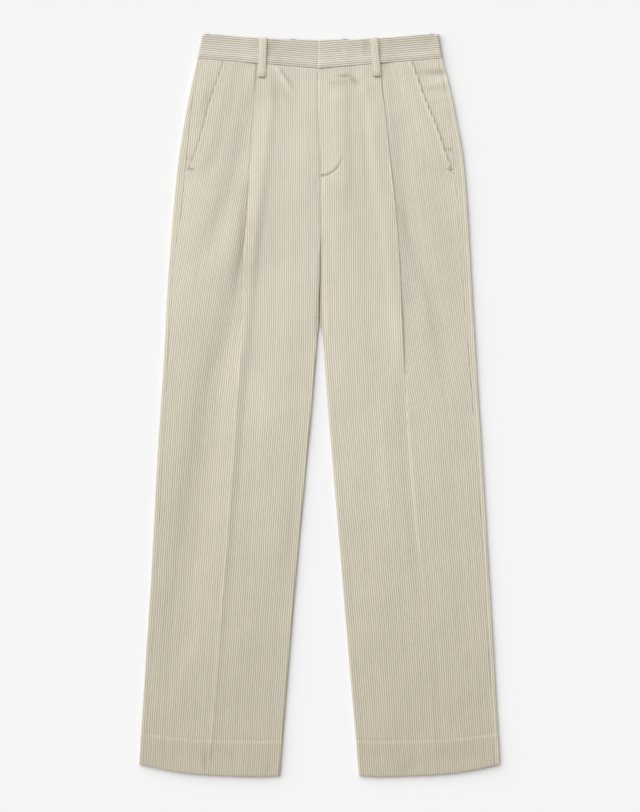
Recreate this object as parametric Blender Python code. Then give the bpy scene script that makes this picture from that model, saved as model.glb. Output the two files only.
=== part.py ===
"""Pleated corduroy trousers, laid flat with the front up.

+X runs to the wearer's left, +Y to the waist and +Z up from the surface. The origin is on the surface,
under the middle of the garment. Each leg is described once, by how far down the garment a place is, from the
top of the waistband at the sides, and how far across, from the centre front. Both are in millimetres.
"""
import bpy
import numpy as np

MM = 0.001

# The garment's length, and which way each leg lies
LENGTH = 1060.0
SIDES = {"right": -1.0, "left": 1.0}

# Cloth: half its plain wall, and how far its grooves and ridges stand from the wall's middle
WALE_PITCH = 3.1
CLOTH_HALF = 0.65
GROOVE_HEIGHT = 0.42
RIDGE_HEIGHT = 0.95
SEAM_HALF_GAP = 0.15
CUT_GRACE = 0.45
RIBBED_TURN = 0.3 * np.pi
LOWEST_UPPER_LAYER = 2.6

# Waistband: a folded band, its left end lapped over its right
BAND_HALF = 1.1
BAND_GROOVE = 0.85
BAND_RIDGE = 1.35
BAND_SEAM_CENTRE = 46.6
BAND_SEAM_SLOPE = 0.082
BAND_TOP_DIP = 6.4
BAND_TOP_DIP_REACH = 126.0
BAND_BACK_HEIGHT = 2.6
BAND_UNDERLAP = 35.0
BAND_LAP_END = 50.0
BAND_LAP_RISE = 2.6
BAND_WALES = 13
BAND_ARC_RIBBED = (1.0, 0.6, 0.0, 0.0, 0.0)

# Fly: its folded edge leans off the centre at the waist and lies over the right front
FLY_BOTTOM = 196.0
FLY_LEAN = 2.6
FLY_INSIDE = 34.0
FLY_OUTSIDE = 46.0
FLY_RISE = 2.0
FLY_FADE = 35.0
FLY_TUCK = 3.2

# Leg tube
CROTCH = 280.0
CURL_LENGTH = 80.0
INSEAM_REACH = 8.0
INSEAM_CLEARANCE = 0.9
HEM_TOP = 1006.0
HEM_HALF = 1.5
HEM_STEP = 5.0
TOP_OF_PANELS = BAND_SEAM_CENTRE + SEAM_HALF_GAP
WAIST_SLOPE_END = 200.0

# Slant pocket
POCKET_END = 190.0
POCKET_CLOSED = 203.0
POCKET_UNDERLAP = 8.0
POCKET_RISE = 2.0
POCKET_RISE_START = 36.0
POCKET_RISE_END = 12.0
POCKET_FADE = 42.0

# Belt loops
LOOP_WIDTH = 11.0
LOOP_HALF = 0.6
LOOP_WALES = 4
BACK_LOOP_ACROSS = 95.0
LOOP_RIDGE = 0.35
LOOP_GROOVE = -0.1
LOOP_EDGE = -0.25

# Heights of the rows that the panels are worked out at
POCKET_ROWS = (TOP_OF_PANELS, 95, 145, POCKET_END, POCKET_CLOSED)
PANEL_ROWS = POCKET_ROWS + (240, CROTCH, 325, 370, 415, 450, 490, 560, 660, 800, 910, HEM_TOP,
                            HEM_TOP + HEM_STEP, LENGTH)


def table(columns, rows):
    """Columns of numbers by name, the first of them the height down the garment."""
    return dict(zip(columns.split(), np.array(rows, float).T))


OUTER_EDGE = table("down right left", [
    (0, 168, 171), (37, 176, 177), (63, 182, 184), (120, 193, 196), (177, 202, 206), (235, 208, 211),
    (320, 215, 216), (463, 223, 224), (606, 232, 233), (778, 241, 243), (935, 251, 252), (1060, 258, 258)])
INNER_EDGE = table("down right left", [
    (280, 0.15, 0.15), (405, 0.3, 0.4), (435, 3, 4.5), (520, 10, 11), (692, 26, 25.5), (849, 40, 38.5),
    (1060, 57, 56.5)])
SEAM_INSET = table("down right left", [
    (46, 4, 5), (120, 8, 9), (190, 12.5, 14), (245, 12.5, 14), (320, 8, 13.5), (440, 7, 10), (560, 8, 8),
    (700, 8, 6.5), (1060, 8, 7)])
POCKET_MOUTH = table("down right left", [
    (46, 141, 137), (88, 157, 153), (126, 169, 167), (160, 179, 180), (190, 186, 189)])
PLEAT_EDGE = table("down right left", [
    (46, 89, 88), (109, 94, 93.5), (177, 99, 101), (260, 104, 110), (320, 108.5, 114.5), (400, 110, 118),
    (463, 114, 121), (546, 118.5, 126), (690, 129, 137), (800, 138, 150), (970, 150.5, 163.5),
    (1060, 160, 170)])
PLEAT_INTAKE = table("down right left", [
    (46, 67.5, 66), (184, 51.5, 48.5), (270, 36, 37), (356, 20, 24.5), (399, 13.6, 17.5), (442, 8, 12.5),
    (485, 3.6, 7), (520, 1.2, 3.5), (560, 0, 0)])
GRAIN_SHIFT = table("down right left", [
    (400, 0, 0), (463, 1, 3), (549, 5, 9), (635, 11, 16), (721, 16.5, 24), (807, 22, 31.5), (892, 27.5, 38),
    (978, 33, 43.5), (1060, 37, 49)])

# The pleat's share of its grain's intake that is folded over, and the radius of its rolls
PLEAT_TUCK = table("down share", [(46, 0.7), (300, 0.72), (399, 0.62), (442, 0.4), (485, 0.12), (515, 0)])
PLEAT_ROLL = table("down radius", [
    (46, 0.82), (150, 1.0), (230, 1.45), (290, 1.65), (350, 1.5), (399, 1.3), (442, 1.1), (520, 1.1)])
BASE_HEIGHT = table("down height", [(46, 3.6), (200, 3.7), (300, 3.4), (600, 3.0), (960, 3.2), (1004, 3.9),
                                    (1060, 4.1)])
PILLOW = table("down height", [(46, 0), (150, 0.8), (300, 1.6), (700, 1.9), (950, 1.2), (1060, 0.6)])
EDGE_PUFF = table("down height", [(46, 0), (200, 1.2), (400, 2.0), (900, 1.8), (1060, 1.2)])
CREASE = table("down height", [(400, 0), (500, 1.2), (700, 1.5), (950, 1.1), (1060, 0.7)])
HEM_LIFT = table("across lift", [(54, 1.4), (86, 0), (136, 1.4), (184, 4.3), (223, 10), (244, 15.5),
                                 (253, 20), (258, 28)])
BAND_HEIGHT = table("across height", [(0, 5.5), (42, 5.6), (60, 6.9), (90, 7.0), (104, 5.8), (120, 5.3),
                                      (165, 5.1)])
FRONT_LOOP = table("down height half", [(3.5, 9.4, 0.6), (7, 9.9, 0.6), (16, 10.3, 0.6), (28, 10.4, 0.6),
                                        (40, 10.1, 0.6), (50, 9.6, 0.9), (57, 9.4, 0.9), (61, 9.3, 0.8)])
EDGE_PUFF_WIDTH = 11.0
CREASE_WIDTH = 5.0
PLEAT_COVER = 4.0
PLEAT_SLOPE = 18.0
LEAST_TURN = 0.2
TROUGH_FADE_IN = 70.0
TROUGH_FADE_OUT = 90.0

# The largest soft troughs in each front, from its pleat down and out towards the side
TROUGHS = {
    "right": [
        {"depth": 1.5, "width": 10.0, "path": table("down across", [
            (402, 135), (473, 160), (538, 178), (592, 185), (663, 196), (735, 206), (816, 218), (967, 239)])},
        {"depth": 1.0, "width": 9.0, "path": table("down across", [
            (92, 118), (220, 146), (287, 168), (363, 199)])},
    ],
    "left": [
        {"depth": 1.6, "width": 14.0, "path": table("down across", [
            (230, 116), (323, 140), (366, 158), (456, 173), (592, 187), (700, 196)])},
    ],
}


def smooth(at, stations, values):
    """A monotone cubic through the stations, level beyond its ends."""
    at = np.clip(np.asarray(at, float), stations[0], stations[-1])
    step = np.diff(stations)
    slope = np.diff(values) / step
    same_way = slope[:-1] * slope[1:] > 0
    total = np.where(same_way, slope[:-1] + slope[1:], 1.0)
    middle = np.where(same_way, 2 * slope[:-1] * slope[1:] / total, 0.0)
    tangent = np.concatenate((slope[:1], middle, slope[-1:]))
    i = np.clip(np.searchsorted(stations, at, side="right") - 1, 0, len(step) - 1)
    t = (at - stations[i]) / step[i]
    start = values[i] * (1 + 2 * t) * (1 - t) ** 2 + values[i + 1] * t ** 2 * (3 - 2 * t)
    bend = tangent[i] * t * (1 - t) ** 2 - tangent[i + 1] * t ** 2 * (1 - t)
    return start + bend * step[i]


def read(named_table, column, at):
    """One column of a table at a height, or at a distance across."""
    first = next(iter(named_table))
    return smooth(at, named_table[first], named_table[column])


def ramp(at, start, end):
    """Rises softly from 0 at start to 1 at end."""
    t = np.clip((np.asarray(at, float) - start) / (end - start), 0, 1)
    return t * t * (3 - 2 * t)


def band_seam(across):
    """How far down the waist seam is."""
    return BAND_SEAM_CENTRE - BAND_SEAM_SLOPE * np.abs(across)


def band_top(across):
    """How far down the waistband's top edge is."""
    return BAND_TOP_DIP * np.clip(1 - (across / BAND_TOP_DIP_REACH) ** 2, 0, None)


def fly_edge(down):
    """Where the fly's folded edge runs, from the centre front towards the wearer's left."""
    return FLY_LEAN * (ramp(down, 60, FLY_BOTTOM) - 1) + SEAM_HALF_GAP * ramp(down, 150, FLY_BOTTOM)


def inner_edge(side, down):
    """The front panel's edge at the centre front, and down the inside leg."""
    if down >= CROTCH:
        return float(read(INNER_EDGE, side, down))
    if down >= FLY_BOTTOM:
        return SEAM_HALF_GAP
    if side == "left":
        return float(fly_edge(down))
    return float(-fly_edge(down)) - FLY_TUCK


def outer_edge(side, down):
    """The outside of the leg, read higher up near the waist, where the seam slopes up to the side."""
    slope = BAND_SEAM_SLOPE * OUTER_EDGE[side][1] * (1 - ramp(down, TOP_OF_PANELS, WAIST_SLOPE_END))
    return float(read(OUTER_EDGE, side, down - slope))


def side_seam(side, down):
    """Where the side seam lies on the front of the leg."""
    return outer_edge(side, down) - float(read(SEAM_INSET, side, down))


def front_outer_edge(side, down):
    """The front panel's edge along the pocket mouth, and then along the side seam."""
    seam = side_seam(side, down) - SEAM_HALF_GAP
    if down >= POCKET_CLOSED:
        return seam
    return float(read(POCKET_MOUTH, side, down))


def curl(down):
    """How far the front wraps round the inside of the leg, from 0 at the crotch to 1."""
    return float(ramp(down, CROTCH, CROTCH + CURL_LENGTH))


def pleat(side, down):
    """The pleat's rolls at one height: edge, radius, turning angle and the straight run between them."""
    edge = float(read(PLEAT_EDGE, side, down))
    radius = float(read(PLEAT_ROLL, "radius", down))
    tucked = float(read(PLEAT_INTAKE, side, down) * read(PLEAT_TUCK, "share", down))
    straight = max(0.0, (tucked - 2 * np.pi * radius) / 2)
    angles = np.linspace(0, np.pi, 181)
    angle = np.pi if straight else float(np.interp(tucked / (2 * radius), angles - np.sin(angles), angles))
    if angle < LEAST_TURN:
        angle = 0.0
    return {"edge": edge, "radius": radius, "angle": angle, "straight": straight,
            "start": edge - radius * np.sin(min(angle, np.pi / 2)),
            "drop": 2 * radius * (1 - np.cos(angle)),
            "depth": radius + straight}


def cloth_height(side, down, across):
    """Height of the upper layer's middle, without what the pleat, the fly and the pocket add."""
    inner = inner_edge(side, down)
    outer = outer_edge(side, down)
    share = np.clip((across - inner) / (outer - inner), 0, 1)
    puff = np.exp(-((outer - across) / EDGE_PUFF_WIDTH) ** 2)
    puff = puff + curl(down) * np.exp(-((across - inner) / EDGE_PUFF_WIDTH) ** 2)
    height = read(BASE_HEIGHT, "height", down) + read(PILLOW, "height", down) * np.sin(np.pi * share)
    height = height + read(EDGE_PUFF, "height", down) * puff
    crease = np.exp(-np.abs(across - read(PLEAT_EDGE, side, down)) / CREASE_WIDTH)
    height = height + read(CREASE, "height", down) * crease
    for trough in TROUGHS[side]:
        heights = trough["path"]["down"]
        fade = ramp(down, heights[0], heights[0] + TROUGH_FADE_IN)
        fade = fade * (1 - ramp(down, heights[-1] - TROUGH_FADE_OUT, heights[-1]))
        away = (across - read(trough["path"], "across", down)) / trough["width"]
        height = height - trough["depth"] * fade * np.exp(-away ** 2)
    return np.maximum(height, LOWEST_UPPER_LAYER)


def front_rise(side, down, across):
    """What the fly's facing and the pocket mouth lift the front panel by."""
    mouth = front_outer_edge(side, min(down, POCKET_END))
    rise = POCKET_RISE * ramp(across, mouth - POCKET_RISE_START, mouth - POCKET_RISE_END)
    rise = rise * (1 - ramp(down, POCKET_CLOSED, POCKET_CLOSED + POCKET_FADE))
    if side == "left":
        beside_fly = 1 - ramp(across, FLY_INSIDE, FLY_OUTSIDE)
        rise = rise + FLY_RISE * beside_fly * (1 - ramp(down, POCKET_CLOSED, POCKET_CLOSED + FLY_FADE))
    return rise


def wrap(side, down):
    """The front's wrap round the inside of the leg: where its arc starts, radius, turn and run beneath."""
    turn = np.pi * curl(down)
    middle_edge = inner_edge(side, down) + CLOTH_HALF * np.sin(min(turn, np.pi / 2))
    radius = (float(cloth_height(side, down, middle_edge)) - CLOTH_HALF) / 2
    beneath = INSEAM_REACH * float(ramp(down, CROTCH + CURL_LENGTH, CROTCH + 1.75 * CURL_LENGTH))
    return middle_edge + radius * np.sin(min(turn, np.pi / 2)), radius, turn, beneath


def place(side, across, down, height):
    """World millimetres of points of a leg, with the sloping waist seam and the hem's curve."""
    at_waist = 1 - ramp(down, TOP_OF_PANELS, WAIST_SLOPE_END)
    at_hem = ramp(down, 930, LENGTH) ** 2
    lift = read(HEM_LIFT, "lift", across)
    true_down = down + at_waist * (band_seam(across) - BAND_SEAM_CENTRE) - at_hem * lift
    return np.stack((SIDES[side] * across, LENGTH / 2 - true_down, height), axis=-1)


def offsets(points):
    """Unit normals of a section's line, to the left of its run, with repeated points sharing one."""
    points = np.asarray(points)
    new = np.ones(len(points), bool)
    new[1:] = np.linalg.norm(np.diff(points, axis=0), axis=1) > 1e-7
    line = points[new]
    run = np.diff(line, axis=0)
    run = run / np.linalg.norm(run, axis=1, keepdims=True)
    both = np.vstack((run[:1], run[:-1] + run[1:], run[-1:]))
    both = both / np.linalg.norm(both, axis=1, keepdims=True)
    normal = np.stack((-both[:, 1], both[:, 0]), axis=1)
    return normal[np.cumsum(new) - 1]


def ribs(count):
    """Groove and ridge heights by turns, one of each for a wale."""
    return np.where(np.arange(count) % 2, RIDGE_HEIGHT, GROOVE_HEIGHT)


def hold(values, low, high):
    """Values kept inside a stretch, those near its ends drawn onto them, and which are held."""
    held = (values < low + CUT_GRACE) | (values > high - CUT_GRACE)
    drawn = np.where(values < low + CUT_GRACE, low, np.where(values > high - CUT_GRACE, high, values))
    return drawn, held


CENTRE_GRAIN = np.arange(-14, 80) * WALE_PITCH / 2
OUTER_GRAIN = np.arange(69, 159) * WALE_PITCH / 2
ROLL_STEPS = np.linspace(0, 1, 5)
WRAP_COLUMNS = 28


def inseam(side, down):
    """Where the back starts on the underside, just past the end of the front's wrap."""
    arc_start, radius, turn, beneath = wrap(side, down)
    clearance = 2 * SEAM_HALF_GAP + (INSEAM_CLEARANCE if turn < np.pi else 0.0)
    return arc_start - radius * np.sin(turn) + beneath + clearance


def front_row(side, down):
    """One row of a front panel: the cloth's middle line, its outer offsets, its inner offset."""
    arc_start, radius, turn, beneath = wrap(side, down)
    fold = pleat(side, down)
    shift = float(read(GRAIN_SHIFT, side, down))
    intake = float(read(PLEAT_INTAKE, side, down))
    outer_end = front_outer_edge(side, down)

    # the stretch from the inseam or the centre front to the pleat's fold
    run, held = hold(CENTRE_GRAIN + shift, arc_start - radius * turn - beneath, fold["start"])
    walk = np.maximum(arc_start - run, 0)
    angle = np.minimum(walk / radius, turn)
    past = np.maximum(walk - radius * turn, 0)
    flat = np.maximum(run, arc_start)
    across = flat - radius * np.sin(angle) + past
    cover = fold["edge"] - fold["depth"] - PLEAT_COVER
    lift = fold["drop"] * ramp(across, cover - PLEAT_SLOPE, cover)
    top = cloth_height(side, down, flat) + front_rise(side, down, flat) + lift
    sink = np.where(angle > 0, (top - CLOTH_HALF) / (2 * radius), 1.0)
    centre = np.stack((across, top - sink * radius * (1 - np.cos(angle))), axis=1)
    centre_face = np.where(held | (angle > RIBBED_TURN), CLOTH_HALF, ribs(len(run)))

    # the stretch from under the pleat to the pocket mouth or the side seam
    rolled = 2 * fold["radius"] * np.sin(fold["angle"]) + fold["straight"] * np.cos(fold["angle"])
    begin = fold["start"] + rolled
    shown = max(begin, fold["edge"] + 0.2) if fold["angle"] else begin
    run, held = hold(OUTER_GRAIN + shift - intake, shown, outer_end)
    outer_height = cloth_height(side, down, run) + front_rise(side, down, run)
    outer = np.stack((run, outer_height), axis=1)
    outer_face = np.where(held, CLOTH_HALF, ribs(len(run)))

    # the pleat's two rolls and the run between them
    begin_height = float(cloth_height(side, down, np.array(begin)))
    first = fold["angle"] * ROLL_STEPS
    x = fold["radius"] * np.sin(first)
    z = fold["radius"] * (1 - np.cos(first))
    second_x = x[-1] + fold["straight"] * np.cos(fold["angle"]) + x[-1] - x[::-1]
    second_z = 2 * z[-1] - z[::-1]
    stretch = (centre[-1, 1] - begin_height) / (2 * z[-1]) if fold["angle"] else 1.0
    roll = np.stack((np.concatenate((x, second_x)), np.concatenate((z, second_z)) * -stretch), axis=1)
    roll = roll + centre[-1]

    line = np.vstack((centre, roll, outer))
    face = np.concatenate((centre_face, np.full(len(roll), CLOTH_HALF), outer_face))
    return line, face


def lining_half(down):
    """How far the wall's inner side is from its middle, more where the hem is turned up."""
    return HEM_HALF if down > HEM_TOP else CLOTH_HALF


def wall(outer, inner, kept):
    """A closed wall between an outer grid of points and an inner one that keeps some of its columns.

    The grids are joined along their four edges, points that coincide become one, and faces that this
    flattens are left out.
    """
    rows, columns = outer.shape[:2]
    kept = np.asarray(kept)
    points = np.vstack((outer.reshape(-1, 3), inner.reshape(-1, 3)))
    a = np.arange(rows * columns).reshape(rows, columns)
    b = np.arange(rows * len(kept)).reshape(rows, len(kept)) + rows * columns

    def quads(p, q, r, s):
        p, q, r, s = (corner.ravel() for corner in (p, q, r, s))
        return np.vstack((np.stack((p, q, r), 1), np.stack((p, r, s), 1)))

    faces = [quads(a[:-1, :-1], a[:-1, 1:], a[1:, 1:], a[1:, :-1]),
             quads(b[:-1, :-1], b[1:, :-1], b[1:, 1:], b[:-1, 1:]),
             quads(a[:-1, 0], a[1:, 0], b[1:, 0], b[:-1, 0]),
             quads(a[:-1, -1], b[:-1, -1], b[1:, -1], a[1:, -1])]
    for row, turn in ((0, 1), (-1, -1)):
        rim = []
        for k in range(len(kept) - 1):
            start, end = kept[k], kept[k + 1]
            halfway = (start + end + 1) // 2
            for j in range(start, end):
                rim.append((a[row, j], b[row, k] if j < halfway else b[row, k + 1], a[row, j + 1]))
            rim.append((a[row, halfway], b[row, k], b[row, k + 1]))
        faces.append(np.array(rim)[:, ::turn])
    faces = np.vstack(faces)

    _, first, same = np.unique(np.round(points, 4), axis=0, return_index=True, return_inverse=True)
    faces = same.ravel()[faces]
    points = points[first]
    whole = (faces[:, 0] != faces[:, 1]) & (faces[:, 1] != faces[:, 2]) & (faces[:, 2] != faces[:, 0])
    faces = faces[whole]
    p, q, r = points[faces[:, 0]], points[faces[:, 1]], points[faces[:, 2]]
    if np.einsum("ij,ij->", p, np.cross(q, r)) < 0:
        faces = faces[:, ::-1]
    return points, faces


def make_material(name, colour, roughness):
    material = bpy.data.materials.new(name)
    material.use_nodes = True
    shader = material.node_tree.nodes["Principled BSDF"]
    shader.inputs["Base Color"].default_value = (*colour, 1.0)
    shader.inputs["Roughness"].default_value = roughness
    shader.inputs["Metallic"].default_value = 0.0
    return material


def make_piece(name, points, faces, material, parent):
    mesh = bpy.data.meshes.new(name)
    mesh.from_pydata((points * MM).tolist(), [], faces.tolist())
    mesh.materials.append(material)
    mesh.shade_smooth()
    mesh.set_sharp_from_angle(angle=np.radians(25))
    piece = bpy.data.objects.new(name, mesh)
    piece.parent = parent
    bpy.context.scene.collection.objects.link(piece)


def front_panel(side):
    """A front, from the waist seam to the turned-up hem, with its pleat and the wrap round the inner leg."""
    outer = []
    inner = []
    rolls = np.arange(len(CENTRE_GRAIN), len(CENTRE_GRAIN) + 2 * len(ROLL_STEPS))
    last = rolls[-1] + len(OUTER_GRAIN)
    kept = np.unique(np.concatenate((np.arange(0, WRAP_COLUMNS, 2), np.arange(WRAP_COLUMNS, rolls[0], 8),
                                     rolls, np.arange(rolls[-1] + 1, last, 9), [last])))
    for down in PANEL_ROWS:
        line, face = front_row(side, down)
        normal = offsets(line)
        over = line + normal * face[:, None]
        beneath = (line - normal * lining_half(down))[kept]
        outer.append(place(side, over[:, 0], down, over[:, 1]))
        inner.append(place(side, beneath[:, 0], down, beneath[:, 1]))
    return wall(np.array(outer), np.array(inner), kept)


def back_panel(side):
    """A back: flat on the surface, round the outside of the leg, and up to the side seam on top."""
    outer = []
    inner = []
    run = np.arange(-11, 8) * WALE_PITCH / 2
    kept = np.concatenate((np.arange(0, len(run), 2), [len(run)]))
    for down in PANEL_ROWS:
        edge = outer_edge(side, down) - CLOTH_HALF
        radius = (float(cloth_height(side, down, np.array(edge))) - CLOTH_HALF) / 2
        centre = edge - radius
        seam = side_seam(side, down) + SEAM_HALF_GAP - centre
        walk, held = hold(run, seam, radius * np.pi)
        angle = np.maximum(walk, 0) / radius
        across = centre + np.minimum(walk, 0) + radius * np.sin(angle)
        top = cloth_height(side, down, across)
        sink = (top - CLOTH_HALF) / 2
        height = np.where(angle > 0, top - sink * (1 - np.cos(angle)), top)
        inside = inseam(side, down) if down > CROTCH else SEAM_HALF_GAP
        line = np.vstack((np.stack((across, height), axis=1), [(inside, CLOTH_HALF)]))
        face = np.append(np.where(held | (angle > RIBBED_TURN), CLOTH_HALF, ribs(len(run))), CLOTH_HALF)
        normal = offsets(line)
        over = line + normal * face[:, None]
        beneath = (line - normal * lining_half(down))[kept]
        outer.append(place(side, over[:, 0], down, over[:, 1]))
        inner.append(place(side, beneath[:, 0], down, beneath[:, 1]))
    return wall(np.array(outer), np.array(inner), kept)


def pocket_facing(side):
    """The hip piece behind the slant pocket, its wales along the side of the hip."""
    outer = []
    inner = []
    run = np.arange(-34, 1) * WALE_PITCH / 2
    kept = np.arange(0, len(run), 2)
    for down in POCKET_ROWS:
        edge = outer_edge(side, down)
        low = float(read(POCKET_MOUTH, side, down)) - POCKET_UNDERLAP
        across, held = hold(edge + run, low, side_seam(side, down) - SEAM_HALF_GAP)
        line = np.stack((across, cloth_height(side, down, across)), axis=1)
        normal = offsets(line)
        over = line + normal * np.where(held, CLOTH_HALF, ribs(len(run)))[:, None]
        beneath = (line - normal * CLOTH_HALF)[kept]
        outer.append(place(side, over[:, 0], down, over[:, 1]))
        inner.append(place(side, beneath[:, 0], down, beneath[:, 1]))
    return wall(np.array(outer), np.array(inner), kept)


def waistband(side):
    """Half the waistband, from its end at the fly round the side to the centre back."""
    if side == "left":
        front = np.array([-FLY_LEAN, 12, 28, 36, 42, 48, 54, 60, 75, 90, 97, 104, 120, 140, 155])
        ribbed = np.ones(len(front))
    else:
        front = np.array([-BAND_UNDERLAP, 3.0, 5.0, 20, 42, 51, 60, 75, 90, 97, 104, 120, 140, 155])
        ribbed = np.array([0.0, 0.0] + [1.0] * (len(front) - 2))
    height = read(BAND_HEIGHT, "height", np.abs(front))
    if side == "left":
        height = height + BAND_LAP_RISE * (1 - ramp(front, BAND_UNDERLAP, BAND_LAP_END))
    end_height = BAND_HEIGHT["height"][-1]
    radius = (end_height - BAND_BACK_HEIGHT) / 2
    turn = np.linspace(0, np.pi, len(BAND_ARC_RIBBED))
    side_edge = float(read(OUTER_EDGE, side, BAND_SEAM_CENTRE / 2)) - BAND_RIDGE
    arc_height = end_height - radius * (1 - np.cos(turn))
    arc = np.stack((side_edge - radius + radius * np.sin(turn), arc_height), axis=1)
    line = np.vstack((np.stack((front, height), axis=1), arc, [(SEAM_HALF_GAP, BAND_BACK_HEIGHT)]))
    ribbed = np.concatenate((ribbed, BAND_ARC_RIBBED, (0,)))
    normal = offsets(line)

    wales = np.arange(2 * BAND_WALES + 1)
    kept = np.array([0, BAND_WALES, 2 * BAND_WALES])
    above_seam = wales * WALE_PITCH / 2
    relief = np.where(wales % 2, BAND_RIDGE, BAND_GROOVE)

    def grid(points, columns):
        stations = np.abs(line[:, 0])[:, None]
        low = band_top(stations)
        high = band_seam(stations) - SEAM_HALF_GAP
        rise = above_seam[None, columns]
        reach = high - low
        rise, held = hold(rise, np.zeros_like(reach), reach)
        down = high - rise
        fan = read(OUTER_EDGE, side, down) - read(OUTER_EDGE, side, BAND_SEAM_CENTRE / 2)
        across = points[..., 0] + fan * np.clip(line[:, 0] / side_edge, 0, 1)[:, None]
        return across, down, held

    across, down, held = grid(np.repeat(line[:, None], len(wales), axis=1), np.arange(len(wales)))
    share = ribbed[:, None] * ~held
    face = share * relief[None] + (1 - share) * BAND_HALF
    outer = np.stack((across + normal[:, None, 0] * face, down,
                      line[:, None, 1] + normal[:, None, 1] * face), -1)
    inner = np.stack((across - normal[:, None, 0] * BAND_HALF, down,
                      (line - normal * BAND_HALF)[:, None, 1] + 0 * down), -1)[:, kept]
    for part in (outer, inner):
        part[..., 0] *= SIDES[side]
        part[..., 1] = LENGTH / 2 - part[..., 1]
    return wall(outer, inner, kept)


def strip(middle, lean, stations, heights, halves, ribbed):
    """A belt loop: a strip down the garment that leans by so much, its wales along it."""
    wales = np.arange(2 * LOOP_WALES + 1)
    width = LOOP_WIDTH * (wales / wales[-1] - 0.5)
    kept = np.array([0, LOOP_WALES, 2 * LOOP_WALES])
    line = np.stack((stations, heights), axis=1)
    normal = offsets(line)
    relief = np.where(wales % 2, LOOP_RIDGE, LOOP_GROOVE) * ribbed
    relief[[0, -1]] = LOOP_EDGE * ribbed
    centre = middle + lean * (stations - stations[0]) / (stations[-1] - stations[0])
    across = centre[:, None] + width
    face = LOOP_HALF + relief[None]
    outer = np.stack((across, line[:, None, 0] + normal[:, None, 0] * face,
                      line[:, None, 1] + normal[:, None, 1] * face), -1)
    halves = halves[:, None]
    inner = np.stack((across, line[:, None, 0] - normal[:, None, 0] * halves + 0 * across,
                      line[:, None, 1] - normal[:, None, 1] * halves + 0 * across), -1)[:, kept]
    for part in (outer, inner):
        part[..., 1] = LENGTH / 2 - part[..., 1]
    return wall(outer, inner, kept)


def main():
    for old in list(bpy.data.objects):
        bpy.data.objects.remove(old)
    garment = bpy.data.objects.new("trousers", None)
    bpy.context.scene.collection.objects.link(garment)

    stone = (0.651, 0.604, 0.497)
    panel_cloth = make_material("panel_corduroy", stone, 0.92)
    back_cloth = make_material("back_corduroy", stone, 0.92)
    facing_cloth = make_material("facing_corduroy", (0.62, 0.573, 0.47), 0.92)
    band_cloth = make_material("waistband_corduroy", (0.60, 0.565, 0.475), 0.92)
    loop_cloth = make_material("loop_corduroy", (0.63, 0.585, 0.49), 0.92)

    for side in SIDES:
        make_piece("front_" + side, *front_panel(side), panel_cloth, garment)
        make_piece("back_" + side, *back_panel(side), back_cloth, garment)
        make_piece("pocket_facing_" + side, *pocket_facing(side), facing_cloth, garment)
        make_piece("waistband_" + side, *waistband(side), band_cloth, garment)

    shape = (FRONT_LOOP["down"], FRONT_LOOP["height"], FRONT_LOOP["half"])
    for side, middle, lean in (("right", -80.4, -1.4), ("left", 78.3, 4.7)):
        make_piece("belt_loop_front_" + side, *strip(middle, lean, *shape, 1.0), loop_cloth, garment)
    flat = np.full(2, LOOP_HALF)
    for place_name, middle in (("right", -BACK_LOOP_ACROSS), ("centre", 0.0), ("left", BACK_LOOP_ACROSS)):
        ends = np.array([band_top(middle) + LOOP_HALF, band_seam(middle) - LOOP_HALF])
        make_piece("belt_loop_back_" + place_name, *strip(middle, 0.0, ends, flat, flat, 0.0),
                   loop_cloth, garment)


main()
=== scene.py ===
"""Pleated corduroy trousers, laid flat with the front up, dressed as cloth.

Every piece is a thin shell of ribbed cloth on the solid that it replaces. A place on a leg is told by how far
down the garment it is, from near the top of the waistband at the sides, and how far across, from the centre
front, both in millimetres. The wearer's right leg lies towards -X, the waist towards +Y, and +Z is up.
"""
import math

import bpy
import numpy as np
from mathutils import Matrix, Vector


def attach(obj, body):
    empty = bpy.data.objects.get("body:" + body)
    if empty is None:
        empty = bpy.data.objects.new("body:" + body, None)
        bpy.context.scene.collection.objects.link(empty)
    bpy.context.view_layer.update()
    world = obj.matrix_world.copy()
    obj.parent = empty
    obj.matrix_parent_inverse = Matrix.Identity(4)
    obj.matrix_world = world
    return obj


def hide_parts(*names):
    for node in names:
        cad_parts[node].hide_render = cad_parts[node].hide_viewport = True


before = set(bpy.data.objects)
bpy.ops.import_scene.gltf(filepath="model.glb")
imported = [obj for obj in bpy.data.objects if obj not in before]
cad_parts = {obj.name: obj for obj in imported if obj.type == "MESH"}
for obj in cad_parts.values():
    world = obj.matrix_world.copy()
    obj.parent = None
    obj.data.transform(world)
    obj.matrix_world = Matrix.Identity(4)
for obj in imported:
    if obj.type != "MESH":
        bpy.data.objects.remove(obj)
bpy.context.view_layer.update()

bl_info = {
    "name": "Corduroy Trousers",
    "version": (1, 0, 0),
    "blender": (4, 5, 0),
    "location": "3D View > Sidebar > Trousers",
    "description": "Makes the cloth, belt loops and sewing of pleated corduroy trousers that are laid flat",
    "category": "Object",
}

MM = 0.001
SIDES = {"right": -1.0, "left": 1.0}
ACROSS_AXIS = np.array([1.0, 0.0, 0.0])
DOWN_AXIS = np.array([0.0, -1.0, 0.0])

# ---- Sizes of the garment, in millimetres ----
LENGTH = 1060.0
SEAM_HALF_GAP = 0.05
SEAM_ROLL = 0.28
LOWEST_UPPER_LAYER = 2.5
SETTLE = 0.4
RESTING = 0.02

# Wales: how flat their crests are, the height that counts as their middle, the turn over which they fade out
# on an edge that is turned under, the share of a column by which they are drawn onto an edge, and the slow
# waves that they wander by (each a height, a length down, a length across and a start)
WALE_POWER = 2.6
WALE_MIDDLE = 0.55
RIB_FADE = (0.3 * np.pi, 0.5 * np.pi)
GRACE = 0.3
SWAY = ((0.32, 19.0, 31.0, 0.0), (0.24, 31.0, -17.0, 2.0))

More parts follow.
